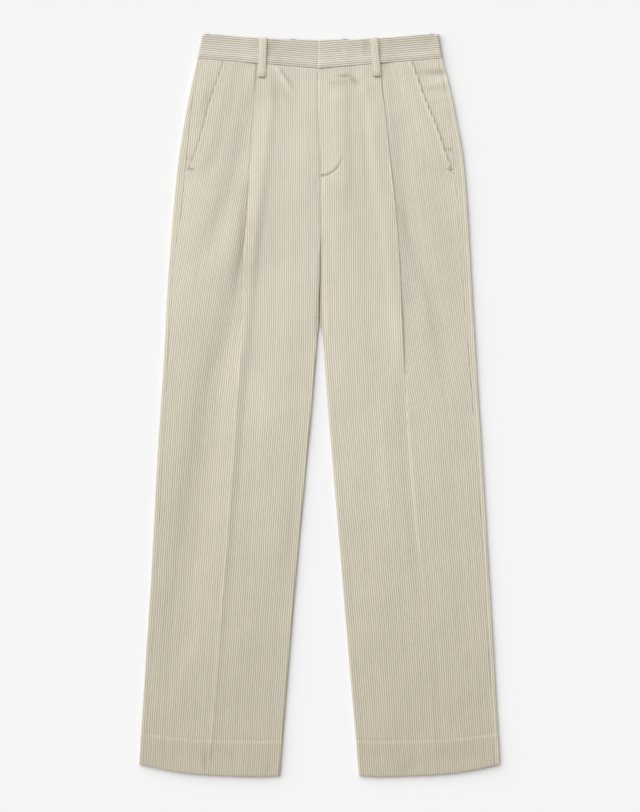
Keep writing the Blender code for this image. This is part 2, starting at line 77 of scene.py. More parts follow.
# The stretch across the wales that the columns of each piece cover
CENTRE_REACH = (-22.0, 124.0)
OUTER_REACH = (106.0, 246.0)
BACK_REACH = (-17.0, 14.0)
FACING_REACH = (-56.0, 16.0)

# Waistband: its lap, its stations, its columns, and the waves from the loops' pull
BAND_HALF = 1.05
BAND_SEAM_ROLL = 0.5
BAND_RELIEF = 1.6
LAP_SHADE = 0.05
BAND_SEAM_CENTRE = 46.6
BAND_SEAM_SLOPE = 0.082
BAND_BACK_HEIGHT = 2.7
BAND_END = -0.3
BAND_UNDERLAP = 35.0
BAND_LAP_END = 72.0
BAND_LAP_RISE = 2.4
BAND_STEP = 3.0
BAND_ARC_STEPS = 9
BAND_BACK_STEPS = 40
BAND_SIDE_INSET = 0.3
LAP_DROP = 0.9
LAP_DROP_ENDS = (-5.0, 4.5)
BAND_DEPTH = 38.0
BAND_WALES_TOP = 46.0
BAND_TOP_ROLL = 0.3
BAND_PLAIN_END = 1.4
BAND_RIB_FADE = (0.35 * np.pi, 0.6 * np.pi)
BAND_LINING_COLUMNS = 10
# Painted shade over the whole waistband, for wales that run across the light
BAND_TONE = -0.03
BAND_PULL = 0.18
BAND_PULL_LENGTH = 13.0
BAND_PULL_START = 0.8

# Fly, and the groove of its stitching
FLY_BOTTOM = 199.0
FLY_INSIDE = 31.0
FLY_OUTSIDE = 60.0
FLY_RISE = 1.7
FLY_FADE = 62.0
FLY_TUCK = 3.2
FLY_JOIN_ABOVE = 2.0
FLY_JOIN_BELOW = 3.0
FLY_EDGE_RISE = 0.55
FLY_FACING_RISE = 0.45
GROOVE_DEPTH = 1.2
GROOVE_WIDTH = 1.4
# Painted shade in the groove of the fly's curved stitching
GROOVE_SHADE = -0.34
GROOVE_POINTS = 60
GROOVE_FADE = 0.85
GROOVE_FADE_ENDS = (24.0, 35.0)

# Leg tube: the inside of the leg, the back's run to it, and the waist, where the cloth is held still
CROTCH = 280.0
CURL_LENGTH = 80.0
INSEAM_REACH = 8.0
INSEAM_REACH_END = 1.75
BACK_CLEARANCE = {"open": 0.9, "closed": 0.3}
BACK_FLAT_COLUMNS = 25
PILLOW_POWER = 3
TOP_OF_PANELS = BAND_SEAM_CENTRE + 0.95
WAIST_SLOPE_END = 200.0
WAIST_HOLD = 8.0
WAVES_AT_WAIST = 0.3
WAVES_BELOW_WAIST = 0.7

# Hem: its fold and curve, and the step and dents along its stitching
HEM_TOP = 1010.0
HEM_EDGE = 1.0
HEM_CURVE_START = 900.0
HEM_CURVE_POWER = 1.5
HEM_HALF = 1.5
HEM_STITCH = 6.2
HEM_STEP = 0.45
HEM_STEP_HALF = 1.6
HEM_STEP_LENGTH = 26.0
HEM_DENT = 0.1
HEM_PRICK = 0.15
HEM_DENT_ABOVE = 2.2
HEM_DENT_WIDTH = 1.8
# Painted highlight in dashes along the hem's stitching
HEM_DASH = 0.09
HEM_DASH_WIDTH = 1.5

# Slant pocket
POCKET_END = 190.0
POCKET_CLOSED = 203.0
POCKET_UNDERLAP = 8.0
POCKET_MIDDLE = 120.0
POCKET_RISE = 1.6
POCKET_RISE_START = 36.0
POCKET_RISE_END = 12.0
POCKET_FADE = 40.0
POCKET_BEAD = 0.3
POCKET_BEAD_INSET = 2.6
POCKET_BEAD_WIDTH = 2.0
MOUTH_CLOSES = (POCKET_END + 1.0, POCKET_CLOSED - 4.0)
SCALLOP = 1.1
SCALLOP_MIDDLE = 0.7

# Belt loops: the front ones' form and place, and then the back ones'
LOOP_WIDTH = 11.0
LOOP_HALF = 0.6
LOOP_CORNER = 2.2
LOOP_CORNER_SHARE = 0.8
LOOP_CORNER_TURN = 0.98
LOOP_EDGE = 0.7
LOOP_CROWN = 0.35
LOOP_RELIEF = 0.7
LOOP_RIM = 0.1
LOOP_STEEPEST = 1.5
LOOP_TOP = 3.2
LOOP_BEND = 12.0
LOOP_FOOT_LENGTH = 5.0
LOOP_ROWS = (8, 22, 10)
LOOP_WALES = {"front": 5, "back": 4}
LOOP_FOOT = {"right": 59.9, "left": 58.6}
LOOP_MIDDLE = {"right": 80.0, "left": 78.2}
LOOP_LEAN = {"right": 1.9, "left": 4.8}
LOOP_LEAN_TOP = 3.5
LOOP_LEAN_LENGTH = 57.5
BACK_LOOPS = {"right": -95.0, "centre": 0.0, "left": 95.0}
BACK_LOOP_INSET = 1.2
BACK_LOOP_ROWS = 24
BACK_LOOP_EDGE = 0.6
BACK_LOOP_FACE = 0.75
BACK_LOOP_RELIEF = 0.2

# Painted light and shade in the cloth's tone, as shades and the widths that they fade over: below zero is
# darker, but a dusk, an outline and an underline are how much darker it is
# Painted highlight along the side seam, laid over the shade of its groove
SEAM_HIGHLIGHT = {"right": 0.02, "left": 0.06}
SEAM_HIGHLIGHT_WIDTH = 1.3
# Painted highlight on the left back's rolled outer edge and the right front's inner edge, which roll away
# from the light
EDGE_HIGHLIGHT = {"right": 0.0, "left": 0.3}
INSEAM_HIGHLIGHT = {"right": 0.06, "left": 0.0}
EDGE_HIGHLIGHT_WIDTH = 3.4
# Painted shadow along the right pocket mouth and painted highlight along the left, with a painted highlight
# on each bead
MOUTH_SHADE = {"right": -0.2, "left": 0.24}
MOUTH_SHADE_WIDTH = 1.2
MOUTH_BEAD_SHADE = 0.06
MOUTH_BEAD_INSET = 3.2
MOUTH_BEAD_WIDTH = 1.6
MOUTH_SHADE_ENDS = (POCKET_END - 4.0, POCKET_END + 2.0)
# Painted shadow on the pocket facing close beside the mouth, and a wider painted dusk beyond it
POCKET_SHADE = {"right": -0.44, "left": -0.1}
POCKET_SHADE_WIDTH = 1.4
POCKET_DUSK = 0.02
POCKET_DUSK_WIDTH = 9.0
# Painted shadow and highlight along the pleat's fold: the turn where it shows, its place and its widths
PLEAT_SHADE_TURN = (1.2, 2.4)
PLEAT_SHADE_PLACE = 0.3
PLEAT_SHADE_WIDTH = 1.0
PLEAT_BENEATH_WIDTH = 5.0
# Widths of the painted shadow beside the centre front
CENTRE_SHADE_WIDTH = 1.0
CENTRE_WIDE_WIDTH = 4.0
# Painted shade on the waistband along both sides of each front belt loop
BESIDE_LOOP_SHADE = -0.05
BESIDE_LOOP_WIDTH = 2.5
BESIDE_LOOP_START = 20.0
# Painted shadow round each front belt loop's foot, on its inner and outer sides and below it
LOOP_OUTLINE = {"right": (0.34, 0.34), "left": (0.3, 0.0)}
LOOP_OUTLINE_INSET = 0.2
LOOP_OUTLINE_WIDTH = 1.2
LOOP_UNDERLINE = 0.16
LOOP_UNDERLINE_DROP = 0.6
LOOP_UNDERLINE_WIDTH = 1.3
# Painted shade on a front belt loop towards its foot, darkest at its turned-under end
LOOP_FOOT_SHADE = -0.12
LOOP_FOOT_SHADE_ENDS = (9.0, 3.0)
LOOP_END_SHADE = -0.3
LOOP_END_SHADE_LENGTH = 2.6
FAR_AWAY = 1000.0

# Sewing: where it is, and each bar tack's length, width, number of stitches and thread's radius
FLY_STITCHES = 18
FLY_THREAD = 0.28
STITCH_GAP = 0.12
HEM_SEWN = {"right": (66, 246), "left": (62, 246)}
HEM_THREAD = 0.2
HEM_SLANT = np.array([0.9, 0.35, 0.0])
TACKS = {"pocket": (8.0, 1.5, 16, 0.26), "fly": (4.0, 1.4, 9, 0.26), "waistband": (7.0, 1.3, 14, 0.24),
         "loop": (7.0, 1.3, 14, 0.24)}
POCKET_TACK_ACROSS = {"right": 184.0, "left": 186.0}
POCKET_TACK_DOWN = 190.5
FLY_TACK_ACROSS = 4.6
FLY_TACK_DOWN = 198.0
BAND_TACK_ACROSS = 29.7
BAND_TACK_RISE = 22.5
BAND_TACK_DOWN = 21.6
BAND_TACK_HEIGHT = 0.1
LOOP_TACK_ABOVE = 1.2
LOOP_TACK_HEIGHT = 10.55
THREAD_HEIGHT = 0.12


def table(columns, rows):
    """Columns of numbers by name, the first of them the distance that the others are read at."""
    return dict(zip(columns.split(), np.array(rows, float).T))


def spots(*rows):
    """A table of soft spots: place, lift, half sizes down and across, and turn in degrees."""
    return table("down across lift tall wide turn", rows)


OUTER_EDGE = table("down right left", [
    (0, 168, 171), (37, 176, 177), (63, 182, 184), (120, 193, 196), (177, 202, 206), (235, 208, 211),
    (320, 215, 216), (463, 223, 224), (606, 232, 233), (778, 241, 243), (935, 251, 252), (1060, 258, 258)])
CENTRE_FRONT = table("down across", [
    (46, -0.1), (90, -0.1), (120, 0.6), (150, 1.6), (180, 2.6), (196, 2.8), (215, 2.2), (240, 2.0),
    (340, 2.0), (370, 0.7), (405, 0.2)])
INNER_EDGE = table("down right left", [
    (280, 0, 0), (365, 0.05, 0.05), (405, 0.3, 0.4), (435, 3, 4.5), (520, 10, 11), (692, 26, 25.5),
    (849, 40, 38.5), (1060, 57, 56.5)])
SEAM_INSET = table("down right left", [
    (46, 4, 5), (120, 8, 9), (190, 12.5, 14), (245, 12.5, 14), (320, 8, 13.5), (440, 7, 10), (560, 8, 8),
    (700, 8, 6.5), (1060, 8, 7)])
POCKET_MOUTH = table("down right left", [
    (46, 135.4, 131.5), (64, 142, 138.2), (86, 150.2, 146.2), (103, 156.2, 152.8), (129, 164, 165),
    (155, 172.2, 175.4), (168, 177, 180), (182, 182.8, 185.6), (190, 186, 188)])
PLEAT_EDGE = table("down right left", [
    (46, 89, 87.5), (80, 91.9, 89.4), (107, 94, 93.2), (177, 99, 101), (260, 104, 110), (320, 108.5, 114.5),
    (400, 110, 118), (463, 114, 121), (546, 118.5, 126), (690, 129, 137), (800, 138, 150),
    (970, 150.5, 163.5), (1060, 160, 170)])
PLEAT_INTAKE = table("down right left", [
    (46, 67.5, 66), (184, 51.5, 48.5), (270, 36, 37), (356, 20, 24.5), (399, 13.6, 17.5), (442, 8, 12.5),
    (485, 3.6, 7), (520, 1.2, 3.5), (560, 0, 0)])
GRAIN_SHIFT = table("down right left", [
    (400, 0, 0), (463, 1, 3), (549, 5, 9), (635, 11, 16), (721, 16.5, 24), (807, 22, 31.5), (892, 27.5, 38),
    (978, 33, 43.5), (1060, 37, 49)])

# The share of the pleat's intake that is folded over, and the radius of its rolls
PLEAT_TUCK = table("down right left", [
    (46, 0.6, 0.6), (200, 0.62, 0.62), (300, 0.7, 0.68), (350, 0.66, 0.52), (399, 0.6, 0.3),
    (442, 0.35, 0.2), (485, 0.1, 0.05), (515, 0, 0)])
PLEAT_ROLL = table("down right left", [
    (46, 0.72, 0.64), (75, 0.74, 0.64), (150, 0.8, 0.66), (230, 0.95, 0.7), (290, 1.05, 0.72),
    (350, 1.05, 0.74), (399, 1.0, 0.82), (520, 1.0, 0.85)])

# How the cloth over the fold slopes up to it, in two parts, and how far under its edge the next cloth starts
PLEAT_COVER = 3.0
PLEAT_SLOPE = 44.0
PLEAT_STEP = 17.0
PLEAT_STEP_SHARE = 0.42
PLEAT_OVERHANG = {"right": 0.6, "left": -0.3}
LEAST_TURN = 0.2
LEAST_RADIUS = 0.1
ROLL_RIBBED = 0.2
PLEAT_ANGLES = np.linspace(0, np.pi, 181)

# Heights of the upper layer of cloth over the surface
BASE_HEIGHT = table("down height", [(46, 5.0), (60, 4.7), (120, 4.1), (200, 3.8), (300, 3.6), (600, 3.3),
                                    (960, 3.3), (1004, 3.9), (1060, 4.1)])
PILLOW = table("down height", [(46, 0), (90, 1.2), (150, 2.2), (300, 3.0), (700, 2.3), (950, 1.5),
                               (1060, 0.6)])
EDGE_PUFF = table("down height", [(46, 0), (200, 0.4), (400, 0.5), (900, 0.4), (1060, 0.3)])
PRESSED = table("down right left", [(400, 0, 0), (500, 0.4, 0.15), (700, 0.6, 0.15), (950, 0.9, 0.1),
                                    (1060, 0.7, 0)])
HEM_LIFT = table("across lift", [(54, 1.4), (86, 0), (136, 1.4), (184, 4.3), (223, 10), (244, 14.5),
                                 (253, 16.5), (258, 18)])
BAND_TOP = table("across down", [(0, 5.7), (44, 4.9), (80, 3.4), (113, 1.4), (149, -1.2), (160, -2.2),
                                 (185, -2.4)])
BAND_HEIGHT = table("across height", [(0, 5.5), (38, 5.2), (52, 5.6), (66, 7.2), (90, 7.2), (102, 6.2),
                                      (116, 5.3), (165, 5.1)])
BAND_HOLLOW = table("rise height", [(0, -0.5), (2, 0.0), (5, 0.2), (14, -0.7), (19, -0.8), (26, -0.3),
                                    (34, 0.5), (40, 0.9)])
FRONT_LOOP = table("down height half", [(3.2, 8.6, 0.6), (5, 9.3, 0.6), (9, 9.6, 0.6), (18, 9.8, 0.6),
                                        (28, 9.8, 0.6), (40, 9.7, 0.7), (50, 9.6, 0.9), (61, 9.3, 0.9)])
EDGE_PUFF_WIDTH = 11.0
PRESSED_WIDTH = 3.5


def crease(lift, inside, outside, fade_in, fade_out, path):
    """A crease: its height (below zero for a trough), how wide it is each way, and the path of its middle."""
    return {"lift": lift, "inside": inside, "outside": outside, "fade_in": fade_in, "fade_out": fade_out,
            "path": table("down across", path)}


# The creases of each front, large ones first
CREASES = {
    "right": [
        crease(-2.65, 28, 20, 70, 130, [(300, 104), (345, 107), (390, 117), (440, 131), (480, 145),
                                        (538, 158), (592, 166), (663, 177), (735, 186), (816, 197),
                                        (967, 214)]),
        crease(-2.2, 0.5, 13, 60, 70, [(190, 100), (260, 104), (300, 107), (345, 110), (400, 112)]),
        crease(-1.6, 0.5, 6, 80, 60, [(190, 100), (260, 104), (300, 107), (345, 110), (380, 111)]),
        crease(-2.6, 24, 18, 60, 100, [(60, 86), (120, 97), (180, 112), (240, 130), (290, 148), (350, 166)]),
        crease(-0.75, 26, 8, 110, 110, [(150, 68), (230, 74), (283, 81), (337, 86), (390, 91), (443, 96),
                                        (530, 101)]),
        crease(1.9, 3.4, 6, 3, 22, [(47, 61), (55, 56), (68, 46), (84, 36)]),
        crease(-0.45, 6, 7, 10, 30, [(56, 68), (76, 62), (110, 59)]),
        crease(0.3, 18, 7, 40, 30, [(810, 146), (828, 153), (878, 178), (942, 203), (990, 216)]),
        crease(-0.7, 14, 8, 60, 60, [(560, 20), (620, 28), (690, 35), (780, 44)]),
        crease(-0.4, 2.0, 2.0, 4, 30, [(50, 1.6), (120, 1.2), (150, 0), (190, -1.0), (300, -1.0)]),
        crease(-0.9, 3, 3, 60, 30, [(290, -1.6), (350, -1.2), (440, 4.5)]),
        crease(0.55, 5.5, 16, 40, 220, [(430, 112), (463, 114), (546, 118.5), (690, 129), (800, 138),
                                        (970, 150.5)]),
        crease(-0.95, 26, 8, 60, 260, [(430, 98), (546, 105), (690, 116), (800, 126)]),
        crease(1.0, 26, 26, 80, 80, [(240, 112), (290, 128), (330, 140), (420, 158)]),
    ],
    "left": [
        crease(-1.95, 12, 20, 60, 190, [(215, 118), (260, 126), (323, 146), (366, 160), (456, 178),
                                        (560, 190)]),
        crease(-0.45, 6, 15, 30, 70, [(70, 46), (120, 47), (200, 48), (260, 48)]),
        crease(-0.8, 7, 10, 30, 80, [(80, 66), (150, 67), (260, 74)]),
        crease(0.85, 0.5, 9, 20, 60, [(60, 90), (190, 102), (280, 112), (360, 117), (420, 119)]),
        crease(-0.75, 12, 15, 40, 70, [(100, 117), (190, 122), (280, 128), (360, 135), (430, 139)]),
        crease(-0.3, 10, 16, 60, 100, [(560, 190), (700, 196), (785, 200), (930, 214)]),
        crease(-0.5, 3, 3, 10, 30, [(194, 1.9), (250, 1.9), (300, 1.8)]),
        crease(-1.6, 5, 5, 60, 30, [(290, 1.8), (350, 1.7), (440, 6)]),
        crease(-0.8, 11, 2.5, 60, 220, [(440, 119), (463, 120), (546, 125), (690, 136), (800, 149),
                                        (900, 157)]),
        crease(0.6, 14, 16, 80, 80, [(500, 78), (560, 92), (640, 100), (720, 104)]),
    ],
}

# Small dents and swellings
DIMPLES = {
    "right": spots(
        (87, 52, -0.35, 12, 6, 0), (66, 20, -0.2, 7, 14, 0), (1042, 161, -0.7, 14, 4, 0),
        (1030, 120, -0.35, 10, 8, 20), (1024, 84, 0.3, 12, 10, -15), (1036, 205, -0.4, 9, 12, 10),
        (1020, 230, 0.3, 12, 9, 0), (1046, 70, -0.35, 8, 7, 0), (214, 4, -0.5, 9, 3, 0),
        (300, 60, 0.25, 60, 16, 0), (540, 75, 0.35, 70, 20, 0), (700, 90, -0.3, 60, 18, 0)),
    "left": spots(
        (61, 36, -0.9, 2.2, 9, -4), (70, 53, -0.9, 4.5, 10, -40), (52, 12, -0.3, 3, 12, 0),
        (80, 20, -0.35, 7, 9, 0), (66, 24, 0.3, 4, 12, -6), (62, 58, 0.3, 7, 6, -30),
        (69, 174, -1.3, 5.5, 21, -4), (81, 170, 0.5, 5, 18, 3), (92, 178, -0.35, 4, 14, 8),
        (112, 182, 0.3, 6, 12, 0), (622, 112, -0.3, 3, 20, 8), (1048, 128, -0.5, 9, 9, 0),
        (1030, 84, -0.4, 10, 9, 0), (1026, 150, 0.3, 10, 9, 10), (1040, 200, -0.4, 9, 13, 0),
        (460, 70, 0.35, 70, 18, 0), (620, 80, -0.3, 60, 22, 0), (214, 4, -0.4, 9, 3, 0)),
}
FACING_DIMPLES = {
    "right": spots(
        (175, 184, -0.5, 2.5, 8, 0), (122, 172, -0.35, 3, 8, 5), (104, 163, -0.35, 26, 5, 17),
        (132, 178, 0.25, 4, 8, 0)),
    "left": spots(
        (88, 164, -0.5, 3.5, 12, 8), (102, 168, 0.4, 4, 9, 0), (143, 181, -0.6, 2.6, 8, -30),
        (166, 187, -0.7, 2.6, 7, -5)),
}

# How much of their full height the wales stand up to: the hips are pressed flatter
WALE_RELIEF = table("down right left", [
    (46, 0.58, 0.66), (200, 0.6, 0.7), (320, 0.72, 0.95), (420, 0.98, 1.2), (1060, 1.0, 1.32)])
FACING_RELIEF = 1.25

# Painted shade that darkens the cloth towards the hems, where below zero is darker
PAINTED_SHADE_TO_HEMS = table("down shade", [(300, 0), (406, -0.01), (530, -0.045), (663, -0.085), (749, -0.115),
                                 (835, -0.135), (921, -0.165), (1004, -0.185), (1016, -0.2), (1060, -0.2)])

# Painted shadow beside the centre front: along the fly's edge, and deepest where the legs part at the crotch
CENTRE_SHADE = table("down right left right_wide left_wide", [
    (46, -0.14, 0, 0, 0), (115, -0.12, 0, 0, 0), (145, -0.36, 0, 0, 0), (192, -0.44, 0, 0, 0),
    (203, -0.08, -0.1, 0, 0), (240, -0.06, -0.14, 0, -0.02), (300, -0.08, -0.26, -0.02, -0.12),
    (350, -0.2, -0.4, -0.06, -0.18), (368, -0.55, -0.7, -0.12, -0.22), (400, -0.6, -0.7, -0.12, -0.18),
    (425, -0.2, -0.2, -0.06, -0.06), (450, 0, 0, 0, 0)])

# Painted shade along the pleat's folded edge and on the cloth just beneath it: shadow on the right, highlight
# on the left
PLEAT_SHADE = table("down right left right_beneath left_beneath", [
    (46, -0.74, 0.16, -0.03, 0.2), (72, -0.62, 0.16, -0.03, 0.16), (95, -0.36, 0.16, -0.03, 0.12),
    (125, -0.28, 0.18, -0.03, 0.12), (190, -0.3, 0.2, -0.05, 0.12), (225, -0.48, 0.2, -0.08, 0.08),
    (260, -0.54, 0.2, -0.12, 0.1), (300, -0.42, 0.2, -0.14, 0.12), (350, -0.24, 0.18, -0.1, 0.1),
    (430, -0.1, 0.06, -0.03, 0.03)])

# Dents of the waistband, with the distance up from its lower edge in place of the one down
BAND_DIMPLES = {
    "right": spots(
        (24, 65, -0.9, 12, 6, 0), (22, 92, -0.5, 14, 5, 0), (26, 48, 0.4, 10, 8, 0),
        (16, 120, 0.35, 9, 16, 0), (24, 20, -0.3, 12, 9, 0)),
    "left": spots(
        (22.5, 29.7, -0.7, 5, 1.7, 0), (24, 68, -0.9, 11, 5, 0), (25, 91, -0.7, 12, 4.5, 0),
        (24, 160, -0.6, 12, 9, 0), (14, 36, 0.3, 7, 9, 0)),
}

# Painted shade on the waistband beside the belt loops and towards the left side, laid out like its dents
BAND_SHADES = {
    "right": spots((24, 66, -0.06, 11, 8, 0), (24, 92, -0.03, 14, 5, 0)),
    "left": spots((24, 67, -0.09, 11, 5, 0), (22, 150, -0.04, 16, 22, 0)),
}

# Painted light and shade for small folds, creases, wrinkles and broad swells, laid out like the dents
PAINTED_LIGHT_AND_SHADE = {
    "right": spots(
        (70, 51, 0.11, 17, 3.6, -37), (92, 47, -0.08, 12, 7, -20), (100, 62, -0.04, 24, 6, -6),
        (1042, 161, -0.10, 12, 4, 0), (520, 70, 0.025, 90, 30, 0),
        (150, 34, 0.03, 80, 26, 0), (500, 172, -0.06, 260, 44, 6), (176, 181, -0.12, 2, 3, 0),
        (191, 183, -0.16, 2.6, 5, 0)),
    "left": spots(
        (61, 36, -0.24, 1.9, 8, -4), (68, 50, -0.18, 3.4, 10, -42), (68, 18, -0.10, 3.4, 7, -25),
        (68, 33, -0.09, 7, 12, -20), (90, 20, 0.03, 26, 12, 0), (1048, 128, -0.05, 9, 9, 0),
        (270, 62, -0.075, 210, 50, 0), (310, 165, -0.075, 180, 45, 8), (620, 86, 0.025, 60, 12, -4),
        (190, 187, -0.24, 5, 2.6, 20)),
}
# Painted shade on the pocket facings and on the backs beside them, laid out like the dents
FACING_SHADES = {
    "right": spots(
        (104, 161, -0.12, 26, 6.5, 17), (177, 186, -0.16, 1.8, 5, 0)),
    "left": spots(
        (65, 168, -0.15, 4.5, 22, -3), (88, 168, -0.06, 3, 11, 8), (166, 188, -0.2, 2.6, 4, 0)),
}

# Slow waves of cloth that isn't pulled flat: their lengths down and across, their start and their height
CLOTH_WAVES = table("length_down length_across start height", [
    (163, 410, 0.4, 0.14), (97, -260, 2.1, 0.10), (61, 173, 4.0, 0.07), (41, -121, 1.3, 0.05),
    (233, 88, 5.2, 0.12), (29, 67, 3.1, 0.03), (-53, 39, 0.9, 0.035)])

# The fly's curved stitching, from its foot up to the straight part beside the facing
FLY_STITCH = table("share across down", [
    (0, 2.6, 200.2), (0.1, 3.6, 200.5), (0.25, 9.9, 199.6), (0.45, 17.9, 195.8), (0.62, 24.3, 190.8),
    (0.78, 29.2, 184.3), (0.9, 32.3, 177.9), (1, 34.2, 170.5)])

# Stretches of rows, as (first, last, step), and the leans and steps of a rolled edge
PANEL_BANDS = ((TOP_OF_PANELS, 204.0, 1.6), (204.0, 300.0, 4.0), (300.0, 420.0, 6.0), (420.0, 996.0, 9.0),
               (996.0, 1016.0, 1.6), (1016.0, 1058.4, 4.0))
POCKET_BANDS = ((TOP_OF_PANELS, POCKET_CLOSED, 1.6),)
RIM_TURNS = np.radians((90.0, 62.0, 32.0))
RIMS = len(RIM_TURNS)
ROLL_STEPS = np.linspace(0, 1, 9)

# What counts as no length, as a step, as a sharp edge and as the same place
NEAR_ZERO = 1e-9
SHORTEST_STEP = 1e-6
SHARP_ANGLE = math.radians(80)
SAME_PLACE_DIGITS = 4

# Pile in the material: how fine each pattern is across the wales and along them, for each metre
TUFTS = (420.0, 900.0, 1.0)
STREAKS = (160.0, 22.0, 1.0)
FUZZ = (2100.0, 1500.0, 1.0)
PATCHES = 11.0
# How much more the tone's painted shade takes from green and blue, so that shade is warmer
WARMTH = (0.0, 0.06, 0.24)
OWN_SHADE = 0.5
FUZZ_HEIGHT = 0.35
PILE_GROOVE = {"panel": 0.34, "waistband": 0.3}
TWIST = 1800.0

# Stage, in metres
FLOOR_RADIUS = 6.0
FLOOR_SIDES = 96
FLOOR_DROP = 0.0004
KEY_WAY = (-0.78, 0.62)
KEY_DISTANCE = 3.0
CAMERA_PLACE = (0.0011, 0.0007)
FILM_WIDTH = 36.0
VIEW_END = 100.0


# ---- Curves and heights ----
def smooth(at, stations, values):
    """A monotone cubic through the stations, level beyond its ends."""
    at = np.clip(np.asarray(at, float), stations[0], stations[-1])
    step = np.diff(stations)
    slope = np.diff(values) / step
    same_way = slope[:-1] * slope[1:] > 0
    total = np.where(same_way, slope[:-1] + slope[1:], 1.0)
    middle = np.where(same_way, 2 * slope[:-1] * slope[1:] / total, 0.0)
    tangent = np.concatenate((slope[:1], middle, slope[-1:]))
    i = np.clip(np.searchsorted(stations, at, side="right") - 1, 0, len(step) - 1)
    t = (at - stations[i]) / step[i]
    start = values[i] * (1 + 2 * t) * (1 - t) ** 2 + values[i + 1] * t ** 2 * (3 - 2 * t)
    bend = tangent[i] * t * (1 - t) ** 2 - tangent[i + 1] * t ** 2 * (1 - t)
    return start + bend * step[i]


def read(named_table, column, at):
    """One column of a table, read where its first column has the value at."""
    first = next(iter(named_table))
    return smooth(at, named_table[first], named_table[column])


def ramp(at, start, end):
    """Rises softly from 0 at start to 1 at end."""
    t = np.clip((np.asarray(at, float) - start) / (end - start), 0, 1)
    return t * t * (3 - 2 * t)


def band_seam(across):
    """How far down the waist seam is: a straight line that rises to each side."""
    return BAND_SEAM_CENTRE - BAND_SEAM_SLOPE * np.abs(across)


def band_top(across):
    """How far down the waistband's top edge is: it dips at the centre front."""
    return read(BAND_TOP, "down", np.abs(across))


def centre_front(side, down):
    """Where the fly's folded edge and the seam below it run, measured on the side's own way across."""
    return SIDES[side] * read(CENTRE_FRONT, "across", down)


def inner_edge(side, down):
    """The front panel's edge at the centre front, and down the inside leg.

    The right front runs on under the fly, and below the fly's foot the two are sewn edge to edge.
    """
    sewn = ramp(down, FLY_BOTTOM - FLY_JOIN_ABOVE, FLY_BOTTOM + FLY_JOIN_BELOW)
    tuck = FLY_TUCK * (1 - sewn) if side == "right" else 0.0
    return centre_front(side, down) + SEAM_HALF_GAP * sewn - tuck + read(INNER_EDGE, side, down)


def outer_edge(side, down):
    """The outside of the leg, read higher up near the waist, where the seam slopes up to the side."""
    slope = BAND_SEAM_SLOPE * OUTER_EDGE[side][1] * (1 - ramp(down, TOP_OF_PANELS, WAIST_SLOPE_END))
    return read(OUTER_EDGE, side, down - slope)


def side_seam(side, down):
    """Where the side seam lies on the front of the leg."""
    return outer_edge(side, down) - read(SEAM_INSET, side, down)


def front_outer_edge(side, down):
    """The front panel's edge along the pocket mouth, and then along the side seam."""
    seam = side_seam(side, down) - SEAM_HALF_GAP
    mouth = read(POCKET_MOUTH, side, down)
    closed = ramp(down, *MOUTH_CLOSES)
    return mouth * (1 - closed) + seam * closed


def curl(down):
    """How far the front wraps round the inside of the leg, from 0 at the crotch to 1."""
    return ramp(down, CROTCH, CROTCH + CURL_LENGTH)


def dents(named_table, down, across):
    """Soft bells at the table's places: exp of minus the squares of both distances over the half sizes."""
    total = 0.0
    for k in range(len(named_table["down"])):
        dent = {name: column[k] for name, column in named_table.items()}
        turn = math.radians(dent["turn"])
        a = down - dent["down"]
        b = across - dent["across"]
        along = a * math.cos(turn) + b * math.sin(turn)
        aside = b * math.cos(turn) - a * math.sin(turn)
        total = total + dent["lift"] * np.exp(-(along / dent["tall"]) ** 2 - (aside / dent["wide"]) ** 2)
    return total


def creases(side, down, across):
    """The sum of the creases: each a bell across its path, wider on one side, that fades at both ends."""
    total = 0.0
    for fold in CREASES[side]:
        path = fold["path"]
        first, last = path["down"][0], path["down"][-1]
        fade = ramp(down, first, first + fold["fade_in"]) * (1 - ramp(down, last - fold["fade_out"], last))
        away = across - read(path, "across", down)
        width = np.where(away < 0, fold["inside"], fold["outside"])
        total = total + fold["lift"] * fade * np.exp(-(away / width) ** 2)
    return total


def waves(side, down, across):
    """Sine waves that run slantwise over the cloth."""
    total = 0.0
    for k in range(len(CLOTH_WAVES["height"])):
        turns = down / CLOTH_WAVES["length_down"][k] + SIDES[side] * across / CLOTH_WAVES["length_across"][k]
        total = total + CLOTH_WAVES["height"][k] * np.sin(2 * np.pi * turns + CLOTH_WAVES["start"][k])
    return total


def cloth_height(side, down, across, depth=1.0):
    """Height of the upper layer's middle, without what the pleat, the fly and the pocket add."""
    inner = inner_edge(side, down)
    outer = outer_edge(side, down)
    share = np.clip((across - inner) / (outer - inner), 0, 1)
    puff = np.exp(-((outer - across) / EDGE_PUFF_WIDTH) ** 2)
    puff = puff + curl(down) * np.exp(-((across - inner) / EDGE_PUFF_WIDTH) ** 2)
    height = read(BASE_HEIGHT, "height", down)
    height = height + read(PILLOW, "height", down) * (1 - np.abs(2 * share - 1) ** PILLOW_POWER)
    height = height + read(EDGE_PUFF, "height", down) * puff
    pressed = np.exp(-np.abs(across - read(PLEAT_EDGE, side, down)) / PRESSED_WIDTH)
    height = height + read(PRESSED, side, down) * pressed
    below_waist = ramp(down, TOP_OF_PANELS, TOP_OF_PANELS + WAIST_HOLD)
    soft = creases(side, down, across) + dents(DIMPLES[side], down, across)
    wavy = (WAVES_AT_WAIST + WAVES_BELOW_WAIST * below_waist) * waves(side, down, across)
    height = height + depth * (below_waist * soft + wavy)
    return LOWEST_UPPER_LAYER + SETTLE * np.logaddexp(0, (height - LOWEST_UPPER_LAYER) / SETTLE)


